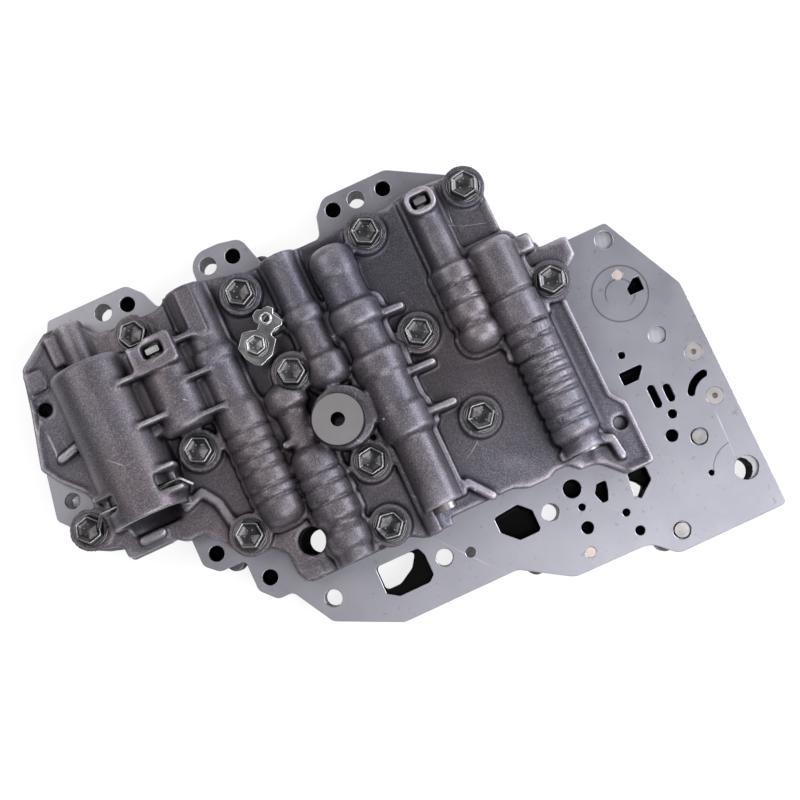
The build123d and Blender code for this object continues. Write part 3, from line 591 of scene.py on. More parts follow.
@dataclass(frozen=True)
class Palette:
    """All the finishes, built once."""

    cast: Material
    lower: Material
    plate: Material
    edge: Material
    stamped: Material
    bolt: Material
    screw: Material
    retainer: Material
    wire: Material
    alloy: Material
    hard: Material
    shade: Material
    copper: Material
    plug: Material

    @classmethod
    def build(cls) -> "Palette":
        """Builds every finish."""
        finishes = {
            "cast": CastSkin(),
            "lower": LowerSkin(),
            "plate": PlateSteel(),
            # lighter finishes for bevelled edges: painted highlights along them
            "edge": Metal("plate_edge", (0.27, 0.27, 0.30), (0.37, 0.37, 0.41), 0.32, 0.85),
            "stamped": Metal("stamped_edge", (0.58, 0.58, 0.60), (0.72, 0.72, 0.74), 0.28, 0.85),
            # the bolt's and the screw's rim colours are painted highlights on their edges and dots
            "bolt": Metal("oxide_bolt", (0.036, 0.034, 0.036), (0.074, 0.071, 0.075), 0.26, 0.88,
                          (0.21, 0.21, 0.225)),
            "screw": Metal("plated_screw", (0.075, 0.075, 0.078), (0.13, 0.13, 0.135), 0.3, 0.85,
                           (0.42, 0.42, 0.44)),
            "retainer": Metal("retainer_steel", (0.11, 0.11, 0.115), (0.20, 0.20, 0.205), 0.32),
            "wire": Metal("spring_wire", (0.12, 0.115, 0.115), (0.24, 0.23, 0.23), 0.3),
            "alloy": Metal("ground_alloy", (0.16, 0.152, 0.15), (0.21, 0.20, 0.195), 0.36),
            "hard": Metal("hard_steel", (0.22, 0.22, 0.23), (0.31, 0.31, 0.32), 0.34),
            # painted shade: near black for parts that sit in openings
            "shade": Metal("dark_steel", (0.032, 0.032, 0.033), (0.065, 0.065, 0.068)),
            "copper": Metal("copper_disc", (0.31, 0.255, 0.232), (0.37, 0.305, 0.277), 0.45, 0.5),
            "plug": Metal("plug_alloy", (0.205, 0.19, 0.19), (0.25, 0.23, 0.23), 0.4, 0.75),
        }
        return cls(**{use: finish.build() for use, finish in finishes.items()})


def placed(name: str, data: bpy.types.ID) -> Thing:
    """Puts an object in the scene, at the origin.

    Args:
        name: its name.
        data: its mesh, camera or lamp.

    Returns:
        The object.
    """
    made = bpy.data.objects.new(name, data)
    bpy.context.scene.collection.objects.link(made)
    return made


def painted(piece: Thing, *materials: Material) -> None:
    """Gives a piece its finishes in place of the ones that its mesh brought.

    Args:
        piece: the piece.
        materials: its finishes, in the order of their numbers.
    """
    piece.data.materials.clear()
    for material in materials:
        piece.data.materials.append(material)


def stand_in(piece: Thing, node: str) -> Thing:
    """Puts a finished piece in place of a CAD node, riding with the castings.

    Args:
        piece: the piece.
        node: the node that it stands for.

    Returns:
        The piece.
    """
    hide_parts(node)
    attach(piece, ROOT_BODY)
    LOG.info("%s: %d faces", piece.name, len(piece.data.polygons))
    return piece


def merged_shape(mesh: Mesh) -> bmesh.types.BMesh:
    """An editable copy of a CAD node's loose triangles, joined up."""
    shape = bmesh.new()
    shape.from_mesh(mesh)
    bmesh.ops.remove_doubles(shape, verts=shape.verts, dist=JOIN)
    return shape


def merged_copy(node: str, name: str) -> Thing:
    """A joined up copy of a CAD node.

    Args:
        node: the CAD node.
        name: name of the copy.

    Returns:
        An object with the merged mesh.
    """
    mesh = frame["nodes"][node].data.copy()
    mesh.name = name
    shape = merged_shape(mesh)
    shape.to_mesh(mesh)
    shape.free()
    return placed(name, mesh)


def tops_of(node: str) -> list[Vector]:
    """The middle of the top of each separate solid in a CAD node.

    Args:
        node: the CAD node.

    Returns:
        The points, from left to right.
    """
    shape = merged_shape(frame["nodes"][node].data)
    left = set(shape.verts)
    tops = []
    while left:
        stack, group = [left.pop()], []
        while stack:
            point = stack.pop()
            group.append(point.co.copy())
            for edge in point.link_edges:
                other = edge.other_vert(point)
                if other in left:
                    left.remove(other)
                    stack.append(other)
        low, high = Vector(map(min, *group)), Vector(map(max, *group))
        tops.append(Vector(((low.x + high.x) / 2, (low.y + high.y) / 2, high.z)))
    shape.free()
    return sorted(tops, key=lambda top: (top.x, top.y))


def baked(thing: Thing) -> None:
    """Turns an object's modifiers into plain mesh and removes them."""
    graph = bpy.context.evaluated_depsgraph_get()
    result = bpy.data.meshes.new_from_object(thing.evaluated_get(graph), depsgraph=graph)
    thing.modifiers.clear()
    thing.data = result


def read(items: bpy.types.bpy_prop_collection, field: str, width: int = 3,
         kind: type = np.float64) -> np.ndarray:
    """Reads one field of a mesh's points, edges or faces.

    Args:
        items: the points, edges or faces.
        field: the field's name.
        width: how many numbers each item has.
        kind: the type of the numbers.

    Returns:
        An array with a row for each item.
    """
    flat = np.empty(len(items) * width, kind)
    items.foreach_get(field, flat)
    return flat.reshape(-1, width)


def points_of(mesh: Mesh) -> np.ndarray:
    """The mesh's points as an array of rows."""
    return read(mesh.vertices, "co")


def edges_of(mesh: Mesh) -> np.ndarray:
    """The mesh's edges as an array of point pairs."""
    return read(mesh.edges, "vertices", 2, np.int64)


def spread(values: np.ndarray, edges: np.ndarray, rounds: int) -> np.ndarray:
    """Averages each point's value with its neighbours' a number of times.

    Args:
        values: one row for each point.
        edges: pairs of neighbouring points.
        rounds: how many times.

    Returns:
        The averaged values.
    """
    count = np.bincount(edges.ravel(), minlength=len(values)).astype(float)
    alone = count == 0
    count[alone] = 1.0
    for _ in range(rounds):
        total = np.empty_like(values)
        columns = values.reshape(len(values), -1)
        summed = total.reshape(len(values), -1)
        for i in range(columns.shape[1]):
            one = np.bincount(edges[:, 0], columns[edges[:, 1], i], len(values))
            summed[:, i] = one + np.bincount(edges[:, 1], columns[edges[:, 0], i], len(values))
            summed[:, i] /= count
        total[alone] = values[alone]
        values = 0.5 * values + 0.5 * total
    return values


def mixed(share: np.ndarray, first: np.ndarray, second: np.ndarray) -> np.ndarray:
    """Points between two sets of points, by each one's share of the second."""
    return (1 - share) * first + share * second


def carried(start: np.ndarray, values: np.ndarray, end: np.ndarray) -> np.ndarray:
    """Takes each value over to the nearest of some other points.

    Args:
        start: points that have values.
        values: their values.
        end: points that want one.

    Returns:
        A value for each of the other points.
    """
    tree = KDTree(len(start))
    for i, point in enumerate(start):
        tree.insert(point, i)
    tree.balance()
    return values[[tree.find(point)[1] for point in end]]


def eased(values: np.ndarray, start: float, end: float) -> np.ndarray:
    """Goes smoothly from 0 at one value to 1 at another.

    Args:
        values: the values.
        start: where the result is 0.
        end: where it is 1.

    Returns:
        The eased values.
    """
    share = np.clip((values - start) / (end - start), 0.0, 1.0)
    return share * share * (3.0 - 2.0 * share)


def write_attribute(mesh: Mesh, name: str, values: np.ndarray) -> None:
    """Stores one value for each point on the mesh.

    Args:
        mesh: the mesh.
        name: the attribute's name.
        values: the values.
    """
    layer = mesh.attributes.new(name, "FLOAT", "POINT")
    layer.data.foreach_set("value", values.astype(np.float32))


@dataclass(frozen=True)
class MachinedDisc:
    """A round machined face of a casting, bright where it is newly cut."""

    x: float
    y: float
    z: float
    radius: float
    bright: bool = False
    bore: float = 0.0
    bore_depth: float = 12 * MM
    catch: float = 0.45 * MM
    level: float = 0.05 * MM

    def away(self, points: np.ndarray) -> np.ndarray:
        """Each point's distance from the middle in the plan view."""
        return np.hypot(points[:, 0] - self.x, points[:, 1] - self.y)

    def mask(self, points: np.ndarray, grow: float = 0.0, reach: float = 1.2 * MM) -> np.ndarray:
        """Which points lie on the face.

        Args:
            points: the casting's points.
            grow: how much wider than the face.
            reach: how far below or above it a point still counts.

        Returns:
            True for each point on the face.
        """
        return (self.away(points) < self.radius + grow) & (np.abs(points[:, 2] - self.z) < reach)

    def trim(self, points: np.ndarray) -> None:
        """Pulls the points near the face's rim and bore onto true circles.

        Args:
            points: the casting's points, changed in place.
        """
        offset = points[:, :2] - (self.x, self.y)
        away = np.maximum(np.hypot(*offset.T), 1e-9)
        above = np.abs(points[:, 2] - self.z) < self.level
        for radius, level in ((self.radius, above), (self.bore, points[:, 2] > self.z - self.bore_depth)):
            near = (np.abs(away - radius) < self.catch) & level
            points[near, :2] = (self.x, self.y) + offset[near] * (radius / away[near])[:, None]


@dataclass(frozen=True)
class Foot:
    """How one side of a ridge runs down to the slab, in millimetres and degrees."""

    side: int
    low_y: float
    high_y: float
    straight: bool
    slab_z: float = 25.0
    round_off: float = 4.0
    fade: float = 3.0
    lift: Band = (-0.7, -0.2)
    reach: Band = (6.0, 3.5)
    catch: Band = (4.2, 3.4)
    ringed_from: Band = (12.0, 42.0)

    def share(self, side: np.ndarray, along: np.ndarray, height: np.ndarray, beyond: np.ndarray) -> np.ndarray:
        """How much of the foot each spot takes.

        Args:
            side: the spot's side of the ridge.
            along: its place along the ridge.
            height: its height in the model.
            beyond: how far it lies outside the ridge's round.

        Returns:
            Its share, from 0 to 1.
        """
        ends = eased(along, self.low_y, self.low_y + self.fade)
        ends = ends * eased(along, self.high_y, self.high_y - self.fade)
        return (side == self.side) * ends * eased(height - self.slab_z, *self.lift) * eased(beyond, *self.reach)


@dataclass(frozen=True)
class RingedRidge:
    """A half round ridge over a valve bore with its cast grooves, in millimetres."""

    x: float
    z: float
    stations: tuple[Place, ...]
    grooves: tuple[float, ...]
    span: Place
    feet: tuple[Foot, ...] = ()
    depth: float = 0.75
    half_width: float = 1.3
    step: float = 1.2
    wide: float = 18.0
    below: float = 7.0
    fade: float = 1.5
    catch: Band = (1.7, 1.1)
    climb: Band = (0.5, 2.5)

    def radius(self, along: np.ndarray) -> np.ndarray:
        """Outer radius without the grooves, its steps rounded off.

        Args:
            along: places along the ridge.

        Returns:
            A radius for each place.
        """
        places, radii = zip(*sorted(self.stations))
        shifts = np.linspace(-self.step, self.step, 7)
        return np.mean([np.interp(along + shift, places, radii) for shift in shifts], axis=0)

    def groove(self, along: np.ndarray) -> np.ndarray:
        """Depth of the cast grooves.

        Args:
            along: places along the ridge.

        Returns:
            A depth for each place.
        """
        away = np.abs(along[:, None] - np.array(self.grooves)).min(axis=1)
        return self.depth * (0.5 + 0.5 * np.cos(np.pi * np.clip(away / self.half_width, 0.0, 1.0)))

    def turn(self, points: np.ndarray) -> None:
        """Moves the casting's points that lie near the ridge onto its true surface.

        Args:
            points: the casting's points in metres, changed in place.
        """
        x, y, z = points.T / MM
        start, end = self.span
        near = (np.abs(x - self.x) < self.wide) & (z > self.z - self.below) & (y > start) & (y < end)
        chosen = np.flatnonzero(near)
        offset, along = x[chosen] - self.x, y[chosen]
        side, spot = np.sign(offset), np.stack([np.abs(offset), z[chosen] - self.z], axis=1)
        round_r, groove = self.radius(along), self.groove(along)
        ends = eased(along, start, start + self.fade) * eased(along, end, end - self.fade)
        gap, way = self.gap(spot, round_r - groove)
        amount = ends * eased(np.abs(gap), *self.catch) * eased(spot[:, 1], *self.climb)
        spot -= (amount * gap)[:, None] * way
        for foot in self.feet:
            share = foot.share(side, along, spot[:, 1] + self.z, spot[:, 0] - round_r)
            angle = np.degrees(np.arctan2(spot[:, 1], spot[:, 0]))
            target = round_r - groove * (eased(angle, *foot.ringed_from) if foot.straight else 1.0)
            amount = share * eased(np.abs(self.joined(spot, target, foot)[0]), *foot.catch)
            for _ in range(3):
                gap, way = self.joined(spot, target, foot)
                spot -= (amount * gap / np.maximum((way ** 2).sum(axis=1), 0.2))[:, None] * way
        points[chosen, 0] = (self.x + side * spot[:, 0]) * MM
        points[chosen, 2] = (self.z + spot[:, 1]) * MM

    @staticmethod
    def gap(spot: np.ndarray, target: np.ndarray) -> tuple[np.ndarray, np.ndarray]:
        """Distance of each spot from the ridge's round, and the way out.

        Args:
            spot: distance from the middle and height over the axis.
            target: the radius there.

        Returns:
            The distances and the outward directions.
        """
        arm = np.stack([spot[:, 0], np.maximum(spot[:, 1], 0.0)], axis=1)
        away = np.maximum(np.hypot(*arm.T), 1e-6)
        return away - target, arm / away[:, None]

    def joined(self, spot: np.ndarray, target: np.ndarray, foot: Foot) -> tuple[np.ndarray, np.ndarray]:
        """Distance from the ridge and the slab joined by a soft fillet.

        Args:
            spot: distance from the middle and height over the axis.
            target: the ridge's radius there.
            foot: the side's foot.

        Returns:
            The distances and the outward directions.
        """
        gap, way = self.gap(spot, target)
        over = spot[:, 1] + self.z - foot.slab_z
        share = np.clip(0.5 + 0.5 * (over - gap) / foot.round_off, 0.0, 1.0)
        reach = over + (gap - over) * share - foot.round_off * share * (1.0 - share)
        return reach, share[:, None] * way + (1.0 - share)[:, None] * np.array([0.0, 1.0])


def ringed_ridges() -> tuple[RingedRidge, ...]:
    """The ridges whose grooves show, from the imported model's own sizes."""
    return (
        RingedRidge(70, 30, ((47, 9.6), (26, 9.6), (24, 9.9), (-37, 9.7), (-38.5, 7.8), (-44, 7.8)),
                    (25, 11, 5, -2, -6.5, -10.5, -15, -19, -26.2, -31.5), (-42, 40),
                    (Foot(1, -39, 13, True), Foot(-1, -41, 1, False, round_off=2.6))),
        RingedRidge(-50, 29, ((-19, 8.4), (-9.5, 9.0), (-8.5, 9.4), (30, 9.4), (33, 8.3), (49, 8.3)),
                    (-9.5, -4.5, 3, 8.5, 14, 20), (-15, 29)),
        RingedRidge(-30.5, 29, ((2, 8.7), (-7, 9.1), (-8.5, 9.4), (-27, 9.5)),
                    (-7.5, -13, -20), (-26, -2)),
        RingedRidge(52, 30, ((11, 8.5), (18.5, 8.5), (20, 7.3), (22.5, 7.3), (23.5, 8.4), (45.5, 8.4)),
                    (30.5, 38), (14, 44)),
    )


@dataclass(frozen=True)
class TrueBore:
    """A bore along Y, trued after the softening so that what slides in it keeps its room."""

    x: float
    z: float
    radius: float
    span: Place
    catch: float = 0.7 * MM

    def turn(self, points: np.ndarray) -> None:
        """Moves the casting's points that lie near the wall onto it.

        Args:
            points: the casting's points, changed in place.
        """
        arm = points[:, ::2] - (self.x, self.z)
        away = np.maximum(np.hypot(*arm.T), 1e-9)
        near = (points[:, 1] > self.span[0]) & (points[:, 1] < self.span[1])
        near &= np.abs(away - self.radius) < self.catch
        points[near, ::2] = (self.x, self.z) + arm[near] * (self.radius / away[near])[:, None]


@dataclass
class SoftCasting:
    """A die casting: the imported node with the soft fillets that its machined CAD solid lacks.

    Softening leaves what lies outside the heights in soft. Openings are found by a wall that faces
    another within opening. Above hole_top there are none, and where it is given their floors aren't marked.
    """

    node: str
    material: Material
    slot: str
    soft: Place
    opening: float
    hole_top: float | None = None
    faces: tuple[MachinedDisc, ...] = ()
    drilled: tuple[Colour, ...] = ()
    ridges: tuple[RingedRidge, ...] = ()
    bores: tuple[TrueBore, ...] = ()
    voxel: float = 0.66 * MM
    softness: int = 6
    triangles: int = 192_000
    snap: float = 0.2 * MM
    face_guard: float = 0.1 * MM
    face_rim: float = 0.2 * MM
    face_reach: float = 0.5 * MM
    turned_by: float = 0.4 * MM
    turned_rounds: int = 6
    form_rounds: int = 30
    form_depth: float = 1.6 * MM
    basin_rounds: int = 220
    basin_depth: float = 9.0 * MM
    end_reach: float = 0.02 * MM
    end_rim: float = 0.25 * MM
    clear: float = 0.4 * MM
    floor_depth: float = 2.5 * MM

    def build(self) -> Thing:
        """Builds the piece in place of its node.

        Returns:
            The piece.
        """
        piece = merged_copy(self.node, f"{self.node}_skin")
        remesh = piece.modifiers.new("remesh", "REMESH")
        remesh.mode = "VOXEL"
        remesh.voxel_size = self.voxel
        baked(piece)
        self.soften(piece.data)
        even, form = points_of(piece.data), self.form(piece.data)
        whole = 2 * len(piece.data.polygons)
        if whole > self.triangles:
            thin = piece.modifiers.new("thin", "DECIMATE")
            thin.ratio = self.triangles / whole
            baked(piece)
        self.mark(piece.data, carried(even, form, points_of(piece.data)))
        painted(piece, self.material)
        piece.data.polygons.foreach_set("use_smooth", ~self.flat_faces(piece.data))
        return stand_in(piece, self.node)

    def soften(self, mesh: Mesh) -> None:
        """Rounds the cast edges and leaves the machined ones.

        Args:
            mesh: the remeshed casting.
        """
        start = points_of(mesh)
        edges = edges_of(mesh)
        low, high = (np.array(corner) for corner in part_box(self.node))
        for level in (low[2], high[2]):
            start[np.abs(start[:, 2] - level) < self.snap, 2] = level
        keep = ((start[:, 2] < self.soft[0]) | (start[:, 2] > self.soft[1])).astype(float)
        for face in self.faces:
            keep = np.maximum(keep, face.mask(start, self.face_guard))
        keep = np.clip(spread(keep, edges, 1), 0, 1)[:, None]
        moved = start
        for _ in range(self.softness):
            moved = mixed(1 - keep, start, spread(moved, edges, 1))
        if self.ridges:
            moved = self.turned(moved, edges)
        for bore in self.bores:
            bore.turn(moved)
        moved = np.clip(moved, low, high)
        for face in self.faces:
            grow = 0.0 if face.bright else -self.face_rim
            moved[face.mask(moved, grow, self.face_reach), 2] = face.z
            if face.bright:
                face.trim(moved)
        mesh.vertices.foreach_set("co", moved.ravel())
        mesh.update()

    def turned(self, points: np.ndarray, edges: np.ndarray) -> np.ndarray:
        """Turns the ridges true and evens out the points that this moved.

        Args:
            points: the softened casting's points.
            edges: pairs of neighbouring points.

        Returns:
            The new points.
        """
        moved = points.copy()
        for ridge in self.ridges:
            ridge.turn(moved)
        share = np.clip(np.linalg.norm(moved - points, axis=1) / self.turned_by, 0, 1)
        share = np.clip(2 * spread(share, edges, 3), 0, 1)[:, None]
        moved = mixed(share, moved, spread(moved, edges, self.turned_rounds))
        for ridge in self.ridges:
            ridge.turn(moved)
        return mixed(share, moved, spread(moved, edges, 1))

    def flat_faces(self, mesh: Mesh) -> np.ndarray:
        """Which faces lie in a machined face, so that they are shaded flat.

        Args:
            mesh: the finished casting.

        Returns:
            True for each such face.
        """
        centres = read(mesh.polygons, "center")
        upright = np.abs(read(mesh.polygons, "normal")[:, 2]) > UPRIGHT
        low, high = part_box(self.node)
        end = np.minimum(np.abs(centres[:, 2] - low[2]), np.abs(centres[:, 2] - high[2])) < self.end_reach
        machined = (face.mask(centres, 0.0, face.level) for face in self.faces)
        return upright & np.any([end, *machined], axis=0)

    def inside(self, mesh: Mesh) -> np.ndarray:
        """Which points belong to an opening: those that face another wall nearby, and the floors.

        Args:
            mesh: the finished casting.

        Returns:
            1 for each point inside an opening, else 0.
        """
        points, normals = points_of(mesh), read(mesh.vertices, "normal")
        solid = BVHTree.FromPolygons(points.tolist(), [tuple(face.vertices) for face in mesh.polygons])
        low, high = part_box(self.node)
        found = np.zeros(len(points))
        for i, (point, normal) in enumerate(zip(points, normals)):
            from_end = min(point[2] - low.z, high.z - point[2])
            if from_end < self.end_rim or (self.hole_top is not None and point[2] > self.hole_top):
                continue
            if abs(normal[2]) > SIDE_ON:
                found[i] = self.hole_top is None and from_end > self.floor_depth
                continue
            along = Vector((normal[0], normal[1], 0.0)).normalized()
            found[i] = solid.ray_cast(Vector(point) + along * self.clear, along, self.opening)[0] is not None
        return found

    def form(self, mesh: Mesh) -> np.ndarray:
        """How far each point is a crest (1) or a hollow (0).

        Args:
            mesh: the softened casting, with its even mesh.

        Returns:
            One value for each point.
        """
        points, edges = points_of(mesh), edges_of(mesh)
        proud = points - spread(points, edges, self.form_rounds)
        out = np.einsum("ij,ij->i", proud, read(mesh.vertices, "normal"))
        return np.clip(0.5 + spread(out, edges, 3) / self.form_depth, 0, 1)

    def mark(self, mesh: Mesh, form: np.ndarray) -> None:
        """Stores what the finish asks of each point.

        Args:
            mesh: the finished casting.
            form: how far each point is a crest or a hollow.
        """
        points, edges = points_of(mesh), edges_of(mesh)
        flat = np.zeros(len(points))
        for face in self.faces:
            # no painted highlight or shade on the machined faces and a little round them
            form[face.mask(points, 1.0 * MM)] = 0.5
            # full painted shade inside the boss's bore
            form[(face.away(points) < face.bore + 0.2 * MM) & (points[:, 2] < face.z - 0.3 * MM)] = 0.0
            if face.bright:
                flat = np.maximum(flat, face.mask(points, 0.15 * MM, 0.3 * MM))
        for x, y, radius in self.drilled:
            flat[np.hypot(points[:, 0] - x, points[:, 1] - y) < radius + 0.35 * MM] = 1.0
        proud = points[:, 2] - spread(points, edges, self.basin_rounds)[:, 2]
        basin = np.clip(0.5 + spread(proud, edges, 6) / self.basin_depth, 0, 1)
        # form, basin and inside set where the finishes paint highlights and shade
        marks = {"form": form, "basin": basin, "milled": flat, "inside": self.inside(mesh)}
        for name, values in marks.items():
            write_attribute(mesh, name, values)


class Outline(Enum):
    """What a ring of a bolt's profile follows."""

    MIDDLE = "middle"
    SHANK = "shank"
    FLANGE = "flange"
    HEXAGON = "hexagon"


@dataclass
class BoltPattern:
    """Flange bolts with dished hexagon heads, set on points by a node tree.

    The profile's rings are an outline, its inset, its height in millimetres and its painted highlight with
    wear.
    """

    node: str
    material: Material
    name: str = "flange_bolts"
    scale: float = 1.0
    flats: float = 10.0 * MM
    height: float = 5.2 * MM
    flange_r: float = 7.05 * MM
    shank_r: float = 2.95 * MM
    corner: float = 1.13
    profile: tuple[tuple[Outline, float, float, float], ...] = (
        (Outline.MIDDLE, 0.0, -10.0, 0.0), (Outline.SHANK, 0.5, -10.0, 0.0),
        (Outline.SHANK, 0.0, -9.4, 0.0), (Outline.SHANK, 0.0, 0.02, 0.0),
        (Outline.FLANGE, 0.25, 0.02, 0.0), (Outline.FLANGE, 0.0, 0.25, 0.0),
        (Outline.FLANGE, 0.0, 0.7, 0.12), (Outline.FLANGE, 0.2, 0.92, 0.3),
        (Outline.FLANGE, 0.55, 1.0, 0.1), (Outline.FLANGE, 0.75, 0.9, 0.0),
        (Outline.HEXAGON, -0.3, 1.45, 0.0), (Outline.HEXAGON, 0.0, 1.8, 0.0),
        (Outline.HEXAGON, 0.0, 4.7, 0.0), (Outline.HEXAGON, 0.1, 5.08, 0.8),
        (Outline.HEXAGON, 0.3, 5.2, 1.0), (Outline.HEXAGON, 0.62, 5.18, 1.0),
        (Outline.HEXAGON, 0.8, 4.9, 0.1), (Outline.HEXAGON, 0.95, 4.65, 0.0),
        (Outline.HEXAGON, 2.2, 4.35, 0.0), (Outline.HEXAGON, 4.2, 4.03, 0.0),
        (Outline.MIDDLE, 0.0, 4.0, 0.0),
    )
    dots: tuple[Place, ...] = ((-2.1, 0.6), (0.0, 2.1), (2.0, 1.2), (0.0, -2.5))
    dot_r: float = 0.5 * MM
    dot_z: float = 4.2 * MM
    # the dots' paler rim: a painted highlight
    dot_highlight: float = 0.5
    segments: int = 72
    seed: int = 7

    def away(self, outline: Outline, angle: float, inset: float) -> float:
        """Distance from the middle to an outline at an angle.

        Args:
            outline: what is followed.
            angle: the angle in radians.
            inset: how far the ring stands inside the outline.

        Returns:
            The distance, with a hexagon's corners a little rounded.
        """
        if outline is Outline.MIDDLE:
            return 0.0
        if outline is not Outline.HEXAGON:
            return (self.shank_r if outline is Outline.SHANK else self.flange_r) - inset
        half = self.flats / 2 - inset
        turned = (angle + math.pi / 6) % (math.pi / 3) - math.pi / 6
        return min(half / math.cos(turned), half * self.corner)

    def head(self) -> Mesh:
        """The mesh of one bolt, with the middle of its seat at the origin."""
        shape = bmesh.new()
        rim = shape.verts.layers.float.new("rim")
        turns = [i * 2 * math.pi / self.segments for i in range(self.segments)]
        rows = []
        for outline, inset, z, wear_and_highlight in self.profile:
            row = []
            for angle in turns[:1] if outline is Outline.MIDDLE else turns:
                away = self.away(outline, angle, inset * MM)
                row.append(shape.verts.new((away * math.cos(angle), away * math.sin(angle), z * MM)))
                row[-1][rim] = wear_and_highlight
            rows.append(row)
        for below, above in zip(rows, rows[1:]):
            for i in range(self.segments):
                k = (i + 1) % self.segments
                corners = [row[place % len(row)] for row, place in
                           ((below, i), (below, k), (above, k), (above, i))]
                shape.faces.new(list(dict.fromkeys(corners)))
        for x, y in self.dots:
            place = Matrix.Translation((x * MM, y * MM, self.dot_z))
            dot = bmesh.ops.create_icosphere(shape, subdivisions=2, radius=self.dot_r, matrix=place)
            for point in dot["verts"]:
                point[rim] = self.dot_highlight
        bmesh.ops.recalc_face_normals(shape, faces=shape.faces)
        mesh = bpy.data.meshes.new(f"{self.name}_head")
        shape.to_mesh(mesh)
        shape.free()
        mesh.polygons.foreach_set("use_smooth", [True] * len(mesh.polygons))
        return mesh

    def tree(self) -> bpy.types.NodeTree:
        """The node tree that sets one bolt on each point, each with its own turn.

        Returns:
            The geometry node tree.
        """
        tree = bpy.data.node_groups.new(f"{self.name}_on_points", "GeometryNodeTree")
        for name, way, kind in (("Geometry", "INPUT", "Geometry"), ("Bolt", "INPUT", "Object"),
                                ("Scale", "INPUT", "Float"), ("Seed", "INPUT", "Int"),
                                ("Geometry", "OUTPUT", "Geometry")):
            tree.interface.new_socket(name, in_out=way, socket_type=f"NodeSocket{kind}")
        start, end, info, turn, joined, bolts, real, paint = (tree.nodes.new(kind) for kind in (
            "NodeGroupInput", "NodeGroupOutput", "GeometryNodeObjectInfo", "FunctionNodeRandomValue",
            "ShaderNodeCombineXYZ", "GeometryNodeInstanceOnPoints", "GeometryNodeRealizeInstances",
            "GeometryNodeSetMaterial"))
        turn.data_type = "FLOAT"
        turn.inputs[2].default_value = 0.0
        turn.inputs[3].default_value = math.pi / 3
        paint.inputs["Material"].default_value = self.material
        for source, target in (
            (start.outputs["Bolt"], info.inputs["Object"]),
            (start.outputs["Geometry"], bolts.inputs["Points"]),
            (info.outputs["Geometry"], bolts.inputs["Instance"]),
            (start.outputs["Seed"], turn.inputs["Seed"]),
            (turn.outputs[1], joined.inputs["Z"]),
            (joined.outputs["Vector"], bolts.inputs["Rotation"]),
            (start.outputs["Scale"], bolts.inputs["Scale"]),
            (bolts.outputs["Instances"], real.inputs["Geometry"]),
            (real.outputs["Geometry"], paint.inputs["Geometry"]),
            (paint.outputs["Geometry"], end.inputs["Geometry"]),
        ):
            tree.links.new(source, target)
        return tree

    def build(self) -> Thing:
        """Builds all the bolts in place of their node.

        Returns:
            The piece.
        """
        source = placed(f"{self.name}_source", self.head())
        cloud = bpy.data.meshes.new(self.name)
        seats = [top - Vector((0, 0, self.height * self.scale)) for top in tops_of(self.node)]
        cloud.from_pydata([tuple(seat) for seat in seats], [], [])
        piece = placed(self.name, cloud)
        modifier = piece.modifiers.new("bolts", "NODES")
        modifier.node_group = tree = self.tree()
        ids = {item.name: item.identifier for item in tree.interface.items_tree if item.in_out == "INPUT"}
        for name, value in (("Bolt", source), ("Scale", self.scale), ("Seed", self.seed)):
            modifier[ids[name]] = value
        baked(piece)
        bpy.data.objects.remove(source)
        return stand_in(piece, self.node)


@dataclass
class ReturnSpring:
    """A coil spring behind a valve or piston, copied from its node as it stands; the real one closes up as that
    comes towards it.
    """

    node: str
    material: Material
    joint: str
    travel: float
    fixed_y: float

    def build(self) -> Thing:
        """Builds the piece in place of its node.

        Returns:
            The piece.
        """
        piece = merged_copy(self.node, f"{self.node}_coil")
        painted(piece, self.material)
        piece.data.polygons.foreach_set("use_smooth", [True] * len(piece.data.polygons))
        stand_in(piece, self.node)
        low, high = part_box(self.node)
        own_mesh(piece)
        return piece


@dataclass
class EdgedSheet:
    """A punched or stamped sheet: its node with a fine bevel along every sharp edge.

    Points between the heights in shallow are raised to the upper one, so that a shallow groove is left
    to the finish.
    """

    node: str
    material: Material
    slot: str
    edge: Material
    width: float = 0.24 * MM
    angle: float = 50.0
    shallow: Place | None = None
    flat_within: float = 0.6
    slopes: Place = (0.2, 0.98)
    level: float = 0.999

    def build(self) -> Thing:
        """Builds the piece in place of its node.

        Returns:
            The piece.
        """
        piece = merged_copy(self.node, f"{self.node}_edged")
        shape = bmesh.new()
        shape.from_mesh(piece.data)
        if self.shallow is not None:
            for point in shape.verts:
                if self.shallow[0] < point.co.z < self.shallow[1]:
                    point.co.z = self.shallow[1]
            bmesh.ops.remove_doubles(shape, verts=shape.verts, dist=JOIN)
            bmesh.ops.dissolve_degenerate(shape, dist=0.1 * JOIN, edges=shape.edges)
        limit = math.radians(self.flat_within)
        bmesh.ops.dissolve_limit(shape, angle_limit=limit, verts=shape.verts, edges=shape.edges)
        shape.to_mesh(piece.data)
        shape.free()
        bevel = piece.modifiers.new("edge", "BEVEL")
        bevel.width = self.width
        bevel.segments = 2
        bevel.limit_method = "ANGLE"
        bevel.angle_limit = math.radians(self.angle)
        bevel.harden_normals = False
        bevel.use_clamp_overlap = False
        baked(piece)
        painted(piece, self.material, self.edge)
        up = read(piece.data.polygons, "normal")[:, 2]
        # the bevel's sloping faces take the lighter edge finish, a painted highlight
        bevelled = (up > self.slopes[0]) & (up < self.slopes[1])
        piece.data.polygons.foreach_set("use_smooth", np.abs(up) < self.level)
        piece.data.polygons.foreach_set("material_index", bevelled.astype(np.int32))
        return stand_in(piece, self.node)


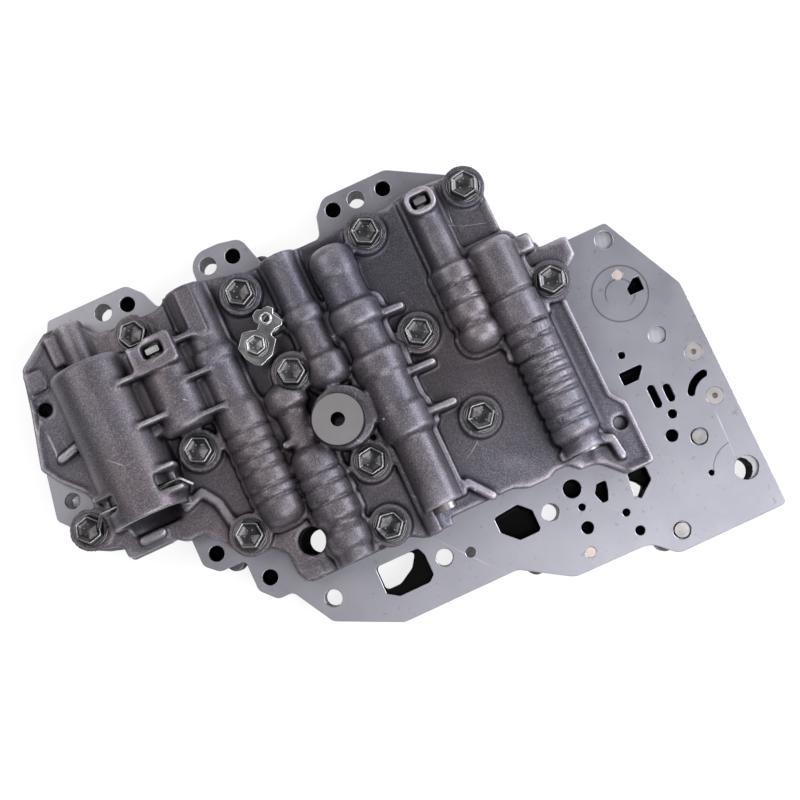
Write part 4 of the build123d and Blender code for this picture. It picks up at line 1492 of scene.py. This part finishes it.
@dataclass
class PhotoCamera:
    """The photograph's camera, from its vanishing point and its height over the plate."""

    picture: float = 800.0
    focal_px: float = 1512.0
    down_px: Place = (425.0, 530.0)
    turn: float = 24.9
    foot: Place = (-1.6 * MM, -46.0 * MM)
    height: float = 636 * MM
    sensor: float = 36.0
    clip: Place = (0.01, 20.0)

    def matrix(self) -> Matrix:
        """The camera's place and turn in the row frame.

        Returns:
            A matrix whose axes are the picture's right, its up and the way back from it.
        """
        middle, turn = self.picture / 2, math.radians(self.turn)
        x, y = ((place - middle) / self.focal_px for place in self.down_px)
        up = -Vector((x, -y, -1)).normalized()
        along = Vector((math.cos(turn), math.sin(turn), 0))
        right = (along - up * along.dot(up)).normalized()
        return Matrix.Translation((*self.foot, self.height)) @ Matrix((right, up.cross(right), up)).to_4x4()

    def build(self) -> Thing:
        """Makes the scene's camera.

        Returns:
            The camera object.
        """
        data = bpy.data.cameras.new("photo_camera")
        data.sensor_width = self.sensor
        data.lens = self.focal_px / self.picture * self.sensor
        data.clip_start, data.clip_end = self.clip
        camera = placed("photo_camera", data)
        camera.matrix_world = self.matrix()
        bpy.context.scene.camera = camera
        return camera


@dataclass(frozen=True)
class Lamp:
    """A soft round lamp, placed by the picture's right, up and towards the camera."""

    name: str
    away: Colour
    size: float
    power: float
    tint: Colour = (1.0, 1.0, 1.0)


@dataclass
class Studio:
    """White floor, pale surroundings and large soft lamps set by the picture's directions."""

    camera: Thing
    reach: float = 0.75
    floor_size: float = 6.0
    floor_tone: Colour = (0.9, 0.9, 0.91)
    floor_glow: Band = (0.2, 0.5, 0.82, 1.0)
    sky_tone: Colour = (0.95, 0.97, 1.0)
    sky_strength: float = 0.17
    white: Colour = (1.0, 1.0, 1.0)
    lamps: tuple[Lamp, ...] = (
        Lamp("box", (0.46, -0.34, 1.0), 0.66, 7.0),
        Lamp("left", (-0.78, 0.30, 0.85), 0.55, 3.6, (1.0, 0.96, 0.94)),
        Lamp("right", (0.95, 0.45, 0.50), 0.45, 6.5, (0.90, 0.93, 1.0)),
        Lamp("top", (0.1, 0.95, 0.45), 0.7, 2.0),
    )

    def build(self) -> None:
        """Builds the floor, the world and the lamps."""
        self.floor()
        self.world()
        low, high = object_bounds()
        turn = self.camera.matrix_world.to_3x3()
        for plan in self.lamps:
            data = bpy.data.lights.new(plan.name, "AREA")
            data.shape = "DISK"
            data.size = plan.size
            data.energy = plan.power
            data.color = plan.tint
            lamp = placed(plan.name, data)
            away = (turn @ Vector(plan.away)).normalized()
            lamp.location = (low + high) / 2 + away * self.reach
            lamp.rotation_mode = "QUATERNION"
            lamp.rotation_quaternion = away.to_track_quat("Z", "Y")

    def floor(self) -> None:
        """A large white plane under the object that keeps its shadow."""
        mesh = bpy.data.meshes.new("floor")
        half = self.floor_size / 2
        mesh.from_pydata([(-half, -half, 0), (half, -half, 0), (half, half, 0), (-half, half, 0)],
                         [], [(0, 1, 2, 3)])
        floor = placed("floor", mesh)
        make = Recipe("studio_floor")
        make.finish(self.floor_tone, 0.9, 0.0)
        seen = make.node("ShaderNodeLightPath").outputs["Is Camera Ray"]
        seen = make.maths(Maths.TIMES, seen, make.band(make.radius((0.0, 0.0)), *self.floor_glow))
        glow = make.node("ShaderNodeEmission", {"Color": self.white})
        mix = make.node("ShaderNodeMixShader", {
            0: seen, 1: make.shader.outputs["BSDF"], 2: glow.outputs["Emission"],
        })
        make.feed(mix.outputs["Shader"], make.output.inputs["Surface"])
        mesh.materials.append(make.material)
        floor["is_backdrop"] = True

    def world(self) -> None:
        """White for the camera and a plain grey for everything else."""
        world = bpy.data.worlds.new("studio")
        world.use_nodes = True
        tree = world.node_tree
        tree.nodes.clear()
        output, rays, mix = (tree.nodes.new(f"ShaderNode{kind}") for kind in
                             ("OutputWorld", "LightPath", "MixShader"))
        tree.links.new(rays.outputs["Is Camera Ray"], mix.inputs[0])
        for place, tone, strength in ((1, self.sky_tone, self.sky_strength), (2, self.white, 1.0)):
            sky = tree.nodes.new("ShaderNodeBackground")
            sky.inputs["Color"].default_value = (*tone, 1)
            sky.inputs["Strength"].default_value = strength
            tree.links.new(sky.outputs["Background"], mix.inputs[place])
        tree.links.new(mix.outputs["Shader"], output.inputs["Surface"])
        bpy.context.scene.world = world


def dress_nodes(palette: Palette) -> None:
    """Gives each CAD node that stays its finish.

    Args:
        palette: the finishes.
    """
    by_slot = {
        "upper_casting": palette.cast, "lower_casting": palette.lower, "plate_steel": palette.plate,
        "bolt_steel": palette.bolt, "retainer_steel": palette.retainer, "spring_steel": palette.wire,
        "valve_alloy": palette.alloy, "hard_steel": palette.hard, "copper_discs": palette.copper,
        "plug_alloy": palette.plug,
    }
    # the relief pin and the accumulator cap are painted near black as shade in their openings; the locating pin
    # shares the finish
    special = {"rear_bolts": palette.wire, "relief_pin": palette.shade, "locating_pin": palette.shade,
               "accumulator_cap": palette.shade}
    for part in frame["record"]["subparts"]:
        thing = frame["nodes"][part["node"]]
        material = special.get(part["node"], by_slot[part["material_slot"]])
        if not thing.material_slots:
            thing.data.materials.append(material)
        for place in thing.material_slots:
            place.link = "OBJECT"
            place.material = material


def machined_faces(seat_r: float = 8.7 * MM) -> tuple[MachinedDisc, ...]:
    """The seats under the flange bolts and the top of the port boss.

    Args:
        seat_r: radius of a bolt's seat.

    Returns:
        The faces.
    """
    seats = (MachinedDisc(top.x, top.y, top.z - BoltPattern.height, seat_r) for top in tops_of("body_bolts"))
    boss = MachinedDisc(-14.5 * MM, 8 * MM, 42 * MM, radius=10.2 * MM, bright=True, bore=2.9 * MM)
    return (*seats, boss)


def bright_holes() -> tuple[Colour, ...]:
    """Middle and radius of each freshly drilled hole: the case bolts' and one blind hole at the left."""
    holes = [mount for mount in frame["record"]["mounts"] if mount["name"].startswith("case_bolt")]
    blind = (-128 * MM, 25.5 * MM, 3.2 * MM)
    return (*((*mount["pos_m"][:2], mount["dims"]["r_mm"] * MM) for mount in holes), blind)


def return_springs(wire: Material) -> list[ReturnSpring]:
    """The springs that the record's joints close up.

    Args:
        wire: their finish.

    Returns:
        One spring for each node that a joint deforms.
    """
    return [
        ReturnSpring(moving["node"], wire, joint["name"], joint["range_m"][1], moving["fixed_end_y_m"])
        for joint in frame["record"]["behaviour"]["joints"] for moving in joint["deforming_nodes"]
    ]


def main() -> None:
    """Builds the whole scene in order."""
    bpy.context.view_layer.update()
    palette = Palette.build()
    dress_nodes(palette)
    tank_bore = TrueBore(-98.5 * MM, 31.5 * MM, 12.62 * MM, (3 * MM, 66 * MM))
    SoftCasting("upper_body", palette.cast, "upper_casting", soft=(16.6 * MM, 1.0), opening=12 * MM,
                hole_top=24.4 * MM, faces=machined_faces(), ridges=ringed_ridges(), bores=(tank_bore,)).build()
    SoftCasting("lower_body", palette.lower, "lower_casting", soft=(0.3 * MM, 13.7 * MM), opening=30 * MM,
                drilled=bright_holes(), softness=3, triangles=150_000).build()
    for spring in return_springs(palette.wire):
        spring.build()
    BoltPattern("body_bolts", palette.bolt).build()
    BoltPattern("retainer_screw", palette.screw, "small_screw", scale=0.73).build()
    EdgedSheet("separator_plate", palette.plate, "plate_steel", palette.edge,
               shallow=(15.8 * MM, 16.0 * MM)).build()
    EdgedSheet("retainer_plate", palette.retainer, "retainer_steel", palette.stamped, 0.22 * MM).build()
    camera = PhotoCamera().build()
    Studio(camera).build()
    bpy.context.scene.view_settings.view_transform = "Standard"


if __name__ == "__main__":
    main()
